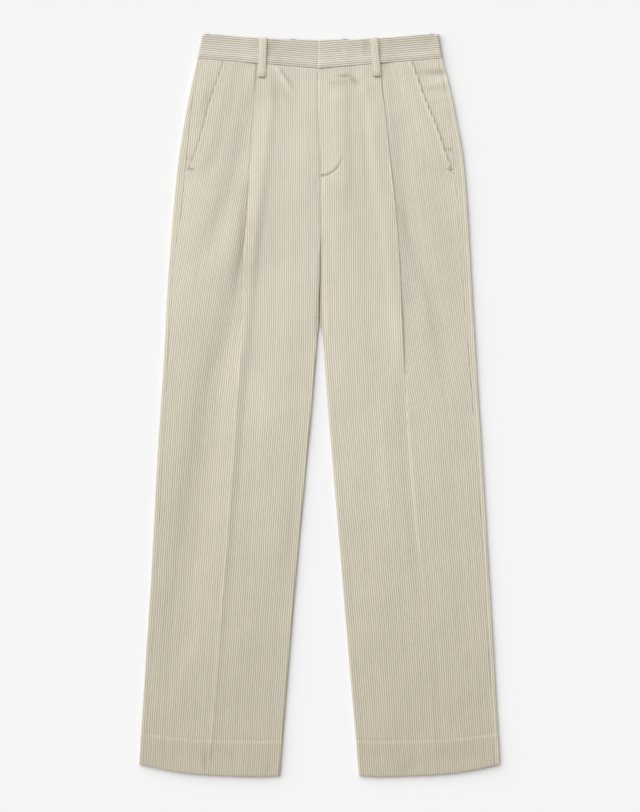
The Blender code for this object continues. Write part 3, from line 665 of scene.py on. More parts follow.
def front_rise(side, down, across):
    """What the fly's facing and the pocket mouth lift the front panel by."""
    mouth = front_outer_edge(side, np.minimum(down, POCKET_END))
    rise = POCKET_RISE * ramp(across, mouth - POCKET_RISE_START, mouth - POCKET_RISE_END)
    rise = rise + POCKET_BEAD * np.exp(-((across - mouth + POCKET_BEAD_INSET) / POCKET_BEAD_WIDTH) ** 2)
    rise = rise * (1 - ramp(down, POCKET_END - POCKET_FADE / 2, POCKET_END + POCKET_FADE / 2))
    if side == "left":
        beside_fly = 1 - ramp(across, FLY_INSIDE, FLY_OUTSIDE)
        beside_fly = beside_fly * (FLY_EDGE_RISE + FLY_FACING_RISE * ramp(across, 0, FLY_INSIDE))
        rise = rise + FLY_RISE * beside_fly * (1 - ramp(down, POCKET_CLOSED, POCKET_CLOSED + FLY_FADE))
    return rise


def stitched_groove(side, down, across):
    """How near the fly's curved stitching is, from 0 to 1: a bell across the nearest point of the line."""
    if side == "right":
        return np.zeros(np.broadcast(down, across).shape)
    share = np.linspace(0, 1, GROOVE_POINTS)
    line_across = read(FLY_STITCH, "across", share)
    line_down = read(FLY_STITCH, "down", share)
    nearest = np.full(np.broadcast(down, across).shape, FAR_AWAY ** 2)
    for a, d in zip(line_across, line_down):
        nearest = np.minimum(nearest, (across - a) ** 2 + (down - d) ** 2)
    fade = 1 - GROOVE_FADE * ramp(across, *GROOVE_FADE_ENDS)
    return fade * np.exp(-nearest / GROOVE_WIDTH ** 2)


def near_stitch(across):
    """How near a place along the hem is to a stitch, from 0 halfway between two to 1 at one."""
    return 0.5 + 0.5 * np.cos(2 * np.pi * across / HEM_STITCH)


def hem_dents(down, across):
    """The cloth steps up where the hem's second layer starts, and is dented a little at each stitch."""
    foot = HEM_TOP + HEM_STEP_HALF
    step_up = ramp(down, HEM_TOP - HEM_STEP_HALF, foot) * (1 - ramp(down, foot, HEM_TOP + HEM_STEP_LENGTH))
    above = np.exp(-((down - HEM_TOP + HEM_DENT_ABOVE) / HEM_DENT_WIDTH) ** 2)
    return HEM_STEP * step_up - (HEM_DENT + HEM_PRICK * near_stitch(across) ** 4) * above


def hem_shade(down, across):
    """Pale dashes of painted highlight along the hem's stitches."""
    return HEM_DASH * near_stitch(across) * np.exp(-((down - HEM_TOP) / HEM_DASH_WIDTH) ** 2)


def lowered(down, across):
    """How much less far down a point is than its row says, as the waist seam slopes up to the sides."""
    at_waist = 1 - ramp(down, TOP_OF_PANELS, WAIST_SLOPE_END)
    return at_waist * (BAND_SEAM_CENTRE - band_seam(across))


def place(side, across, down, height):
    """World millimetres of points of a leg, with the sloping waist seam and the hem's curve."""
    at_hem = ramp(down, HEM_CURVE_START, LENGTH) ** HEM_CURVE_POWER
    true_down = down - lowered(down, across) - at_hem * read(HEM_LIFT, "lift", across)
    return np.stack((SIDES[side] * across, LENGTH / 2 - true_down, height), axis=-1)


# ---- Ribbed shells ----
def rim_turns(count, first=True, last=True):
    """The turn of each of count rows or columns: a rolled rim's at each end that has one, and else 0."""
    turns = np.zeros(count)
    if first:
        turns[:RIMS] = -RIM_TURNS
    if last:
        turns[count - RIMS:] = RIM_TURNS[::-1]
    return turns


def with_rims(values, first=True, last=True):
    """Values with one more for each line of a rolled rim, at each end that has one."""
    return np.concatenate((values[:1].repeat(RIMS * first), values, values[-1:].repeat(RIMS * last)))


def rolled_rows(bands, rolled_foot):
    """A column of the rows' heights, evenly spaced within each band, and how far each row leans down.

    The first row is repeated with the leans of a rolled edge, and so is the last where the foot is rolled.
    """
    parts = [np.linspace(a, b, max(2, round((b - a) / step) + 1))[:-1] for a, b, step in bands]
    rows = np.append(np.concatenate(parts), bands[-1][1])
    down = with_rims(rows, last=rolled_foot)
    return down[:, None], rim_turns(len(down), last=rolled_foot)


def column_step(cloth):
    """The distance from one column to the next: a whole number of steps makes a wale."""
    return cloth["pitch"] / cloth["columns"]


def columns_over(reach, cloth):
    """The columns' places across the wales, over a stretch of cloth."""
    step = column_step(cloth)
    return np.arange(math.floor(reach[0] / step), math.ceil(reach[1] / step)) * step


def wale(grain, pitch):
    """The pile's height over one wale, 0 in the groove and 1 on the crest: a flattened round."""
    off = np.abs(grain / pitch % 1.0 - 0.5) * 2
    return 1 - off ** WALE_POWER


def pile(grain, cloth):
    """How far the pile stands over or under the middle of a wale, as a share of the wale's height."""
    return wale(grain, cloth["pitch"]) - WALE_MIDDLE


def relief_at(side, down, cloth):
    """How high the wales stand."""
    return cloth["relief"] * read(WALE_RELIEF, side, down)


def sway(down, grain):
    """How far the wales wander sideways: the sum of slow sine waves."""
    return sum(height * np.sin(down / length_down + grain / length_across + start)
               for height, length_down, length_across, start in SWAY)


def rim_face(face, column_turn, radius):
    """How far the face stands off the cloth's middle: on a rim it goes over to an even roll."""
    return face + (radius - face) * np.abs(np.sin(column_turn))


def hold(values, low, high, cloth):
    """Values kept inside a stretch, where those that are nearly at its ends are drawn onto them."""
    grace = GRACE * column_step(cloth)
    drawn = np.where(values < low + grace, low, values)
    return np.where(values > high - grace, high, drawn)


def section_normals(across, height):
    """Unit normals of each row's line, to the left of its run, with repeated points sharing one.

    The direction at a point is the sum of the directions of the nearest steps of any length before and
    after it.
    """
    run = np.stack((np.diff(across, axis=1), np.diff(height, axis=1)), axis=-1)
    length = np.linalg.norm(run, axis=-1)
    run = run / np.maximum(length, NEAR_ZERO)[..., None]
    count = run.shape[1]
    index = np.arange(count)
    real = length > SHORTEST_STEP
    before = np.maximum.accumulate(np.where(real, index, -1), axis=1)
    after = np.minimum.accumulate(np.where(real, index, count)[:, ::-1], axis=1)[:, ::-1]
    rows = np.arange(len(run))[:, None]
    edge = np.full((len(run), 1), -1)
    before = np.hstack((edge, before))
    after = np.hstack((after, edge + 1 + count))
    back = np.where((before >= 0)[..., None], run[rows, np.clip(before, 0, count - 1)], 0)
    ahead = np.where((after < count)[..., None], run[rows, np.clip(after, 0, count - 1)], 0)
    both = back + ahead
    both = both / np.maximum(np.linalg.norm(both, axis=-1, keepdims=True), NEAR_ZERO)
    return np.stack((-both[..., 1], both[..., 0]), axis=-1)


def turned(normal, column_turn, row_turn):
    """Normals (across, down, height) of a section, rolled over its rims.

    A rim's column leans by its turn towards the section's run, and a rim's row leans down the garment.
    """
    tangent = np.stack((normal[..., 1], -normal[..., 0]), axis=-1)
    flat = np.cos(column_turn)[None, :, None] * normal + np.sin(column_turn)[None, :, None] * tangent
    lean = np.cos(row_turn)[:, None]
    aside = np.broadcast_to(np.sin(row_turn)[:, None], flat.shape[:2])
    return np.stack((flat[..., 0] * lean, aside, flat[..., 1] * lean), axis=-1)


def unturned(normal):
    """Normals of a section, without any roll, as the underside of the cloth has them."""
    rows, columns = normal.shape[:2]
    return turned(normal, np.zeros(columns), np.zeros(rows))


def points_at(across, down, height):
    """Points of a grid, where down is the same along each row."""
    return np.stack((across, down + 0 * across, height + 0 * across), axis=-1)


def mirrored(points, way):
    """World millimetres of points across, down and up: way is -1 for the right side and 1 for the left."""
    return np.stack((way * points[..., 0], LENGTH / 2 - points[..., 1], points[..., 2]), axis=-1)


def shell(outer, inner, kept, place_on_cloth, tone):
    """A closed shell between a fine outer grid of points and an inner one that keeps some of its columns.

    The grids are joined along their four edges, points that coincide become one, and faces that this
    flattens are left out. Each point keeps its place on the cloth and its tone.
    """
    rows, columns = outer.shape[:2]
    kept = np.asarray(kept)
    points = np.vstack((outer.reshape(-1, 3), inner.reshape(-1, 3)))
    cloth = np.vstack((place_on_cloth.reshape(-1, 2), place_on_cloth[:, kept].reshape(-1, 2)))
    tones = np.concatenate((tone.ravel(), tone[:, kept].ravel()))
    a = np.arange(rows * columns).reshape(rows, columns)
    b = np.arange(rows * len(kept)).reshape(rows, len(kept)) + rows * columns

    def quads(p, q, r, s):
        p, q, r, s = (corner.ravel() for corner in (p, q, r, s))
        return np.vstack((np.stack((p, q, r), 1), np.stack((p, r, s), 1)))

    faces = [quads(a[:-1, :-1], a[:-1, 1:], a[1:, 1:], a[1:, :-1]),
             quads(b[:-1, :-1], b[1:, :-1], b[1:, 1:], b[:-1, 1:]),
             quads(a[:-1, 0], a[1:, 0], b[1:, 0], b[:-1, 0]),
             quads(a[:-1, -1], b[:-1, -1], b[1:, -1], a[1:, -1])]
    halfway = (kept[:-1] + kept[1:] + 1) // 2
    nearest = np.searchsorted(halfway, np.arange(columns - 1), side="right")
    for row, turn in ((0, 1), (-1, -1)):
        fan = np.stack((a[row, :-1], b[row, nearest], a[row, 1:]), axis=1)
        gap = np.stack((a[row, halfway], b[row, :-1], b[row, 1:]), axis=1)
        faces.append(np.vstack((fan, gap))[:, ::turn])
    faces = np.vstack(faces)

    _, first, same = np.unique(
        np.round(points, SAME_PLACE_DIGITS), axis=0, return_index=True, return_inverse=True)
    faces = same.ravel()[faces]
    points, cloth, tones = points[first], cloth[first], tones[first]
    whole = (faces[:, 0] != faces[:, 1]) & (faces[:, 1] != faces[:, 2]) & (faces[:, 2] != faces[:, 0])
    faces = faces[whole]
    p, q, r = points[faces[:, 0]], points[faces[:, 1]], points[faces[:, 2]]
    if np.einsum("ij,ij->", p, np.cross(q, r)) < 0:
        faces = faces[:, ::-1]
    return points, faces, cloth, tones


def make_mesh(name, points, faces, cloth, tones, material):
    """A mesh object from points in millimetres, with its cloth place as a UV map and its painted light and
    shade as tone.
    """
    mesh = bpy.data.meshes.new(name)
    mesh.vertices.add(len(points))
    mesh.vertices.foreach_set("co", (points * MM).astype(np.float32).ravel())
    mesh.loops.add(faces.size)
    mesh.loops.foreach_set("vertex_index", faces.astype(np.int32).ravel())
    mesh.polygons.add(len(faces))
    mesh.polygons.foreach_set("loop_start", np.arange(0, faces.size, 3, dtype=np.int32))
    mesh.update(calc_edges=True)
    uv = mesh.uv_layers.new(name="cloth")
    uv.data.foreach_set("uv", (cloth[faces.ravel()] * MM).astype(np.float32).ravel())
    tone = mesh.attributes.new("tone", "FLOAT", "POINT")
    tone.data.foreach_set("value", tones.astype(np.float32))
    mesh.materials.append(material)
    mesh.validate()
    mesh.shade_smooth()
    mesh.set_sharp_from_angle(angle=SHARP_ANGLE)
    piece = bpy.data.objects.new(name, mesh)
    bpy.context.scene.collection.objects.link(piece)
    return piece


def dress(piece, node):
    """Ties a piece of cloth to the root and hides the part that it stands for."""
    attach(piece, "root")
    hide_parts(node)


# ---- The leg panels ----
def wrap(side, down, cloth):
    """The front's wrap round the inside of the leg: where its arc starts, radius, turn and run beneath."""
    turn = np.pi * curl(down)
    lean = np.sin(np.minimum(turn, np.pi / 2))
    middle_edge = inner_edge(side, down) + cloth["half"] * lean
    radius = (cloth_height(side, down, middle_edge) - cloth["half"]) / 2
    beneath = INSEAM_REACH * ramp(down, CROTCH + CURL_LENGTH, CROTCH + INSEAM_REACH_END * CURL_LENGTH)
    return middle_edge + radius * lean, radius, turn, beneath


def pleat(side, down):
    """The pleat's rolls: edge, radius, turning angle and the straight run between them, for each row."""
    edge = read(PLEAT_EDGE, side, down)
    radius = read(PLEAT_ROLL, side, down)
    tucked = read(PLEAT_INTAKE, side, down) * read(PLEAT_TUCK, side, down)
    straight = np.maximum(0.0, (tucked - 2 * np.pi * radius) / 2)
    part = np.interp(tucked / (2 * radius), PLEAT_ANGLES - np.sin(PLEAT_ANGLES), PLEAT_ANGLES)
    angle = np.where(straight > 0, np.pi, part)
    angle = np.where(angle < LEAST_TURN, 0.0, angle)
    return {"edge": edge, "radius": radius, "angle": angle, "straight": straight,
            "start": edge - radius * np.sin(np.minimum(angle, np.pi / 2)),
            "drop": 2 * radius * (1 - np.cos(angle)),
            "depth": radius + straight}


def leg_shell(side, down, grain, over, under, kept, tone):
    """A shell for a piece of a leg, from its face and underside as points across, down and up."""
    return shell(place(side, *np.moveaxis(over, -1, 0)), place(side, *np.moveaxis(under, -1, 0)), kept,
                 np.stack((grain, -down + 0 * grain), axis=-1), tone)


def front_panel(side, cloth):
    """A front from the waist seam to the hem, as one section per row.

    Each section starts under the leg, goes round its inner edge (an arc of the wrap's radius), over the top
    to the pleat's two rolls, and on to the pocket mouth or the side seam. Each wale is a few columns, which
    are drawn onto the panel's edges where they run off it.
    """
    down, row_turn = rolled_rows(PANEL_BANDS, True)
    centre_grain = columns_over(CENTRE_REACH, cloth)
    outer_grain = columns_over(OUTER_REACH, cloth)
    arc_start, radius, turn, beneath = wrap(side, down, cloth)
    fold = pleat(side, down)
    shift = read(GRAIN_SHIFT, side, down)
    intake = read(PLEAT_INTAKE, side, down)
    rim = np.ones((1, RIMS))

    # from the inseam or the centre front to the pleat
    low = arc_start - radius * turn - beneath + SEAM_ROLL
    run = hold(centre_grain + shift + sway(down, centre_grain), low, fold["start"], cloth)
    run = np.hstack((low * rim, run))
    centre_u = run - shift - sway(down, run - shift)
    walk = np.maximum(arc_start - run, 0)
    safe = np.maximum(radius, LEAST_RADIUS)
    angle = np.minimum(walk / safe, turn)
    past = np.maximum(walk - radius * turn, 0)
    flat = np.maximum(run, arc_start)
    across = flat - radius * np.sin(angle) + past
    cover = fold["edge"] - fold["depth"] - PLEAT_COVER
    lift = (1 - PLEAT_STEP_SHARE) * ramp(across, cover - PLEAT_SLOPE, cover)
    lift = fold["drop"] * (lift + PLEAT_STEP_SHARE * ramp(across, cover - PLEAT_STEP, cover))
    top = cloth_height(side, down, flat, cloth["depth"]) + front_rise(side, down, flat) + lift
    groove = stitched_groove(side, down, flat)
    top = top - GROOVE_DEPTH * groove + hem_dents(down, flat)
    sink = np.where(angle > 0, (top - cloth["half"]) / (2 * safe), 1.0)
    centre_height = top - sink * radius * (1 - np.cos(angle))
    centre_ribbed = 1 - ramp(angle, *RIB_FADE)

    # from under the pleat to the pocket mouth or the side seam
    rolled = 2 * fold["radius"] * np.sin(fold["angle"]) + fold["straight"] * np.cos(fold["angle"])
    begin = fold["start"] + rolled
    shown = np.where(fold["angle"] > 0, np.maximum(begin, fold["edge"] - PLEAT_OVERHANG[side]), begin)
    end = front_outer_edge(side, down) - SEAM_ROLL
    mouth_open = 1 - ramp(down, POCKET_END, POCKET_CLOSED)
    end = end + SCALLOP * mouth_open * (wale(end - shift + intake, cloth["pitch"]) - SCALLOP_MIDDLE)
    outer = hold(outer_grain + shift - intake + sway(down, outer_grain), shown, end, cloth)
    outer = np.hstack((outer, end * rim))
    outer_u = outer - shift + intake - sway(down, outer - shift + intake)
    outer_height = cloth_height(side, down, outer, cloth["depth"]) + front_rise(side, down, outer)
    outer_height = outer_height + hem_dents(down, outer)

    # the pleat's two rolls and the run between them
    begin_height = cloth_height(side, down, begin, cloth["depth"]) + front_rise(side, down, begin)
    first = fold["angle"] * ROLL_STEPS
    x = fold["radius"] * np.sin(first)
    z = fold["radius"] * (1 - np.cos(first))
    second_x = 2 * x[:, -1:] + fold["straight"] * np.cos(fold["angle"]) - x[:, ::-1]
    second_z = 2 * z[:, -1:] - z[:, ::-1]
    fall = centre_height[:, -1:] - begin_height
    stretch = np.where(fold["angle"] > 0, fall / np.maximum(2 * z[:, -1:], SHORTEST_STEP), 1.0)
    roll_across = run[:, -1:] + np.hstack((x, second_x))
    roll_height = centre_height[:, -1:] - stretch * np.hstack((z, second_z))
    share = np.linspace(0, 1, 2 * len(ROLL_STEPS))
    roll_u = centre_u[:, -1:] + share * (outer_u[:, :1] - centre_u[:, -1:])
    roll_ribbed = np.where(share < ROLL_RIBBED, 1.0, 0.0) * np.ones_like(roll_across)

    across = np.hstack((across, roll_across, outer))
    height = np.hstack((centre_height, roll_height, outer_height))
    grain = np.hstack((centre_u, roll_u, outer_u))
    ribbed = np.hstack((centre_ribbed, roll_ribbed, np.ones_like(outer)))

    # its face, its underside and its painted light and shade
    column_turn = rim_turns(across.shape[1])
    normal = section_normals(across, height)
    line = points_at(across, down, height)
    face = cloth["half"] + relief_at(side, down, cloth) * pile(grain, cloth) * ribbed
    face = rim_face(face, column_turn, SEAM_ROLL)
    over = line + turned(normal, column_turn, row_turn) * face[..., None]
    lining = np.where(down > HEM_TOP - HEM_EDGE, HEM_HALF, cloth["half"])
    kept = lining_columns(RIMS + len(centre_grain), across.shape[1] - 1, cloth["columns"])
    under = (line - unturned(normal) * lining[..., None])[:, kept]
    tone = fold_tone(side, down, across, fold) + read(PAINTED_SHADE_TO_HEMS, "shade", down) + hem_shade(down, across)
    tone[:, :groove.shape[1]] += GROOVE_SHADE * groove
    return leg_shell(side, down, grain, over, under, kept, tone)


def lining_columns(rolls, end, one_wale):
    """The columns that a front's underside keeps, told by where its rolls start and where it ends.

    There is one to a wale, but only half as many from a third of the way to the rolls, and every other
    column in the rolls.
    """
    after = rolls + 2 * len(ROLL_STEPS)
    third = rolls // 3
    return np.unique(np.concatenate((
        [0, RIMS], np.arange(RIMS + 2, third, one_wale), np.arange(third, rolls, 2 * one_wale),
        np.arange(rolls, after, 2), np.arange(after, end - RIMS, one_wale), [end - RIMS, end])))


def fold_tone(side, down, across, fold):
    """Painted light and shade on a front: at its pocket mouth, pleat, centre front, seams and loops, and in
    patches.
    """
    mouth = read(POCKET_MOUTH, side, down)
    edge = np.exp(-((across - mouth) / MOUTH_SHADE_WIDTH) ** 2)
    bead = np.exp(-((across - mouth + MOUTH_BEAD_INSET) / MOUTH_BEAD_WIDTH) ** 2)
    at_mouth = (MOUTH_BEAD_SHADE * bead + MOUTH_SHADE[side] * edge) * (1 - ramp(down, *MOUTH_SHADE_ENDS))
    away = across - fold["edge"]
    folded = ramp(fold["angle"], *PLEAT_SHADE_TURN)
    at_pleat = np.exp(-((away - PLEAT_SHADE_PLACE) / PLEAT_SHADE_WIDTH) ** 2)
    at_pleat = read(PLEAT_SHADE, side, down) * at_pleat
    beneath = np.exp(-np.maximum(away, 0) / PLEAT_BENEATH_WIDTH)
    beneath = read(PLEAT_SHADE, side + "_beneath", down) * beneath * (away > 0)
    beside = np.maximum(across - np.maximum(centre_front(side, down), inner_edge(side, down)), 0)
    at_centre = read(CENTRE_SHADE, side, down) * np.exp(-beside / CENTRE_SHADE_WIDTH)
    at_centre = at_centre + read(CENTRE_SHADE, side + "_wide", down) * np.exp(-beside / CENTRE_WIDE_WIDTH)
    at_seam = SEAM_HIGHLIGHT[side] * np.exp(-np.abs(side_seam(side, down) - across) / SEAM_HIGHLIGHT_WIDTH)
    at_inseam = np.exp(-((across - inner_edge(side, down)) / EDGE_HIGHLIGHT_WIDTH) ** 2)
    at_inseam = INSEAM_HIGHLIGHT[side] * curl(down) * at_inseam
    return (at_mouth + folded * (at_pleat + beneath) + at_seam + at_centre + at_inseam
            + loop_outline(side, down, across) + dents(PAINTED_LIGHT_AND_SHADE[side], down, across))


def back_panel(side, cloth):
    """A back: flat on the surface, round the outside of the leg by half circles, and up to the side seam.

    Its wales stand up from the side seam until they turn under, and its flat part is smooth.
    """
    down, row_turn = rolled_rows(PANEL_BANDS, True)
    run = columns_over(BACK_REACH, cloth)
    edge = outer_edge(side, down) - cloth["half"]
    radius = (cloth_height(side, down, edge, cloth["depth"]) - cloth["half"]) / 2
    centre = edge - radius
    seam = side_seam(side, down) + SEAM_HALF_GAP + SEAM_ROLL - centre
    walk = hold(run + sway(down, run), seam, radius * np.pi, cloth)
    walk = np.hstack((seam * np.ones((1, RIMS)), walk))
    angle = np.maximum(walk, 0) / radius
    across = centre + np.minimum(walk, 0) + radius * np.sin(angle)
    top = cloth_height(side, down, across, cloth["depth"]) + hem_dents(down, across)
    sink = (top - cloth["half"]) / 2
    height = np.where(angle > 0, top - sink * (1 - np.cos(angle)), top)

    # the flat part, from where the arc ends to the inside of the leg
    arc_start, inner_radius, turn, beneath = wrap(side, down, cloth)
    clearance = np.where(turn < np.pi, BACK_CLEARANCE["open"], BACK_CLEARANCE["closed"])
    clearance = 2 * SEAM_HALF_GAP + cloth["half"] + clearance
    inseam = arc_start - inner_radius * np.sin(turn) + beneath + clearance
    inside = np.where(down > CROTCH, inseam, SEAM_HALF_GAP)
    share = np.linspace(0, 1, BACK_FLAT_COLUMNS + 1)[1:]
    flat = np.ones((len(down), len(share)))
    walk_on = np.hstack((walk - seam, FAR_AWAY * flat))
    across = np.hstack((across, across[:, -1:] + share * (inside - across[:, -1:])))
    height = np.hstack((height, cloth["half"] * flat))
    grain = np.hstack((walk - sway(down, walk), walk[:, -1:] + share * (across[:, -1:] - inside)))
    ribbed = np.hstack((1 - ramp(angle, *RIB_FADE), 0 * flat))

    # its face, its underside and its painted light and shade
    column_turn = rim_turns(across.shape[1], last=False)
    normal = section_normals(across, height)
    line = points_at(across, down, height)
    face = cloth["half"] + relief_at(side, down, cloth) * pile(grain, cloth) * ribbed
    face = rim_face(face, column_turn, SEAM_ROLL)
    resting = (height < cloth["half"] + RESTING)[..., None]
    rolled = np.where(resting, unturned(normal), turned(normal, column_turn, row_turn))
    over = line + rolled * face[..., None]
    over[..., 2] = np.maximum(over[..., 2], 0.0)
    lining = np.where(down > HEM_TOP - HEM_EDGE, HEM_HALF, cloth["half"])
    last = across.shape[1] - 1
    kept = np.concatenate(([0], np.arange(RIMS, last, cloth["columns"]), [last]))
    under = (line - unturned(normal) * lining[..., None])[:, kept]
    tone = read(PAINTED_SHADE_TO_HEMS, "shade", down) + SEAM_HIGHLIGHT[side] * np.exp(-np.abs(walk_on) / SEAM_HIGHLIGHT_WIDTH)
    tone = tone + dents(FACING_SHADES[side], down, across) + dents(PAINTED_LIGHT_AND_SHADE[side], down, across)
    at_edge = np.exp(-((outer_edge(side, down) - across) / EDGE_HIGHLIGHT_WIDTH) ** 2)
    return leg_shell(side, down, grain, over, under, kept, tone + EDGE_HIGHLIGHT[side] * at_edge)


def pocket_facing(side, cloth):
    """The hip piece behind the slant pocket, its wales half as slanted as the side of the hip."""
    down, row_turn = rolled_rows(POCKET_BANDS, False)
    run = columns_over(FACING_REACH, cloth)
    edge = (outer_edge(side, down) + read(OUTER_EDGE, side, POCKET_MIDDLE)) / 2
    mouth = read(POCKET_MOUTH, side, down)
    high = side_seam(side, down) - SEAM_HALF_GAP - SEAM_ROLL
    across = hold(edge + run + sway(down, run), mouth - POCKET_UNDERLAP, high, cloth)
    across = np.hstack((across, high * np.ones((1, RIMS))))
    grain = across - edge - sway(down, across - edge)
    height = cloth_height(side, down, across, cloth["depth"]) + dents(FACING_DIMPLES[side], down, across)
    column_turn = rim_turns(across.shape[1], first=False)
    normal = section_normals(across, height)
    line = points_at(across, down, height)
    face = cloth["half"] + FACING_RELIEF * relief_at(side, down, cloth) * pile(grain, cloth)
    face = rim_face(face, column_turn, SEAM_ROLL)
    over = line + turned(normal, column_turn, row_turn) * face[..., None]
    last = across.shape[1] - 1
    kept = np.concatenate((np.arange(0, last - RIMS, cloth["columns"]), [last - RIMS, last]))
    under = (line - unturned(normal) * cloth["half"])[:, kept]
    # Painted shadow beside the mouth, a wider painted dusk, and painted shade on the facing
    tone = POCKET_SHADE[side] * np.exp(-np.maximum(across - mouth, 0) / POCKET_SHADE_WIDTH)
    tone = tone - POCKET_DUSK * np.exp(-(across - mouth) / POCKET_DUSK_WIDTH)
    tone = tone + dents(FACING_SHADES[side], down, across)
    return leg_shell(side, down, grain, over, under, kept, tone)


# ---- The waistband and belt loops ----
def waistband(side, cloth):
    """Half the waistband, from its end at the fly round the side to the centre back.

    Its rows are stations along the band and its columns go up from the seam, a few to a wale, and are rolled
    over at the seam and at the top edge.
    """
    laps = side == "left"
    start = BAND_END if laps else -BAND_UNDERLAP
    end_height = BAND_HEIGHT["height"][-1]
    radius = (end_height - BAND_BACK_HEIGHT) / 2
    side_edge = float(read(OUTER_EDGE, side, BAND_SEAM_CENTRE / 2)) - BAND_HALF - BAND_SIDE_INSET
    front = np.linspace(start, side_edge - radius, round((side_edge - start) / BAND_STEP))[:-1]
    turn = np.linspace(0, np.pi, BAND_ARC_STEPS)
    back = np.linspace(side_edge - radius, SEAM_HALF_GAP, BAND_BACK_STEPS)[1:]
    height = read(BAND_HEIGHT, "height", np.abs(front))
    if laps:
        height = height + BAND_LAP_RISE * (1 - ramp(front, BAND_UNDERLAP, BAND_LAP_END))
    else:
        height = height - LAP_DROP * (1 - ramp(front, *LAP_DROP_ENDS))
    stations = (np.concatenate((front, side_edge - radius + radius * np.sin(turn), back)),
                np.concatenate((height, end_height - radius * (1 - np.cos(turn)),
                                np.full(len(back), BAND_BACK_HEIGHT))),
                np.concatenate((np.zeros(len(front)), turn, np.full(len(back), np.pi))))
    station, level, arc = (with_rims(values, laps, False) for values in stations)
    walk = np.concatenate(([0], np.cumsum(np.hypot(np.diff(station), np.diff(level)))))
    row_turn = rim_turns(len(station), laps, False)

    # the columns, and where they put each point
    place_across = np.abs(station)[:, None]
    roll = BAND_HALF + BAND_TOP_ROLL * cloth["relief"]
    low = band_top(place_across) + roll
    high = band_seam(place_across) - SEAM_HALF_GAP - BAND_SEAM_ROLL
    reach = high - low
    steps = columns_over((column_step(cloth), BAND_WALES_TOP), cloth)
    rise = hold(steps + 0 * reach, np.zeros_like(reach), reach, cloth)
    rise = np.hstack((np.zeros((len(station), RIMS + 1)), rise, reach * np.ones((1, RIMS))))
    column_turn = rim_turns(rise.shape[1])
    down = high - rise
    fan = read(OUTER_EDGE, side, down) - read(OUTER_EDGE, side, BAND_SEAM_CENTRE / 2)
    across = station[:, None] + fan * np.clip(station / side_edge, 0, 1)[:, None]
    normal_2d = section_normals(station[None], level[None])[0]
    shown = np.cos(np.minimum(arc, np.pi / 2))[:, None]
    bowed = depth_of_band(side, station[:, None], rise) * shown
    line = np.stack((across + normal_2d[:, None, 0] * bowed, down,
                     level[:, None] + normal_2d[:, None, 1] * bowed), axis=-1)
    tangent = np.stack((normal_2d[:, 1], -normal_2d[:, 0]), axis=-1)
    over_end = np.cos(row_turn)[:, None] * normal_2d + np.sin(row_turn)[:, None] * tangent
    lean = np.cos(column_turn)[None, :]
    rolled = np.stack((over_end[:, None, 0] * lean, -np.sin(column_turn)[None, :] + 0 * across,
                       over_end[:, None, 1] * lean), axis=-1)

    # its face, its underside and its tone, mostly painted shade
    grain = rise + BAND_SEAM_ROLL
    ribbed = 1.0 if laps else np.where(station < BAND_PLAIN_END, 0.0, 1.0)[:, None]
    ribbed = ribbed * (1 - ramp(arc, *BAND_RIB_FADE))[:, None]
    face = BAND_HALF + BAND_RELIEF * cloth["relief"] * pile(grain, cloth) * ribbed
    face = rim_face(face, column_turn, np.where(column_turn < 0, BAND_SEAM_ROLL, roll))
    over = line + rolled * face[..., None]
    flat_normal = np.stack((normal_2d[:, None, 0] + 0 * across, 0 * across,
                            normal_2d[:, None, 1] + 0 * across), axis=-1)
    last = rise.shape[1] - 1
    kept = np.concatenate(([0], np.arange(RIMS, last - RIMS, BAND_LINING_COLUMNS), [last]))
    under = (line - flat_normal * BAND_HALF)[:, kept]
    tone = loop_shade(side, across, down) + BAND_TONE + dents(BAND_SHADES[side], rise, across)
    if laps:
        tone = tone + LAP_SHADE * (1 - ramp(across, BAND_UNDERLAP, BAND_LAP_END))
    return shell(mirrored(over, SIDES[side]), mirrored(under, SIDES[side]), kept,
                 np.stack((grain, walk[:, None] + 0 * grain), axis=-1), tone)


def depth_of_band(side, across, rise):
    """How far the band's face swells or sinks: a hollow line along it, and waves from the loops' pull."""
    hollow = read(BAND_HOLLOW, "height", rise)
    pull = BAND_PULL * np.sin(across / BAND_PULL_LENGTH + BAND_PULL_START * SIDES[side])
    pull = pull * np.sin(np.pi * np.clip(rise / BAND_DEPTH, 0, 1))
    return hollow + pull + dents(BAND_DIMPLES[side], rise, across)


def loop_shade(side, across, down):
    """Painted shade along both sides of a belt loop."""
    away = np.maximum(np.abs(across - loop_middle(side, down)) - LOOP_WIDTH / 2, 0)
    return BESIDE_LOOP_SHADE * np.exp(-(away / BESIDE_LOOP_WIDTH) ** 2) * (across > BESIDE_LOOP_START)


def loop_middle(side, down):
    """Where a front belt loop's middle is: it leans outwards evenly from its top to its foot."""
    return LOOP_MIDDLE[side] + LOOP_LEAN[side] * (down - LOOP_LEAN_TOP) / LOOP_LEAN_LENGTH


def loop_outline(side, down, across):
    """The painted shadow round a belt loop's foot on the front beneath it: it fades with the distance
    outside.
    """
    true_down = down - lowered(down, across)
    away = across - loop_middle(side, true_down)
    beside = np.maximum(np.abs(away) - LOOP_WIDTH / 2 + LOOP_OUTLINE_INSET, 0)
    below = np.maximum(true_down - LOOP_FOOT[side], 0)
    inside, outside = LOOP_OUTLINE[side]
    depth = np.where(away < 0, inside, outside) * np.exp(-(beside / LOOP_OUTLINE_WIDTH) ** 2) * (below == 0)
    from_line = beside ** 2 + (below - LOOP_UNDERLINE_DROP) ** 2
    return -depth - LOOP_UNDERLINE * np.exp(-from_line / LOOP_UNDERLINE_WIDTH ** 2) * (below > 0)


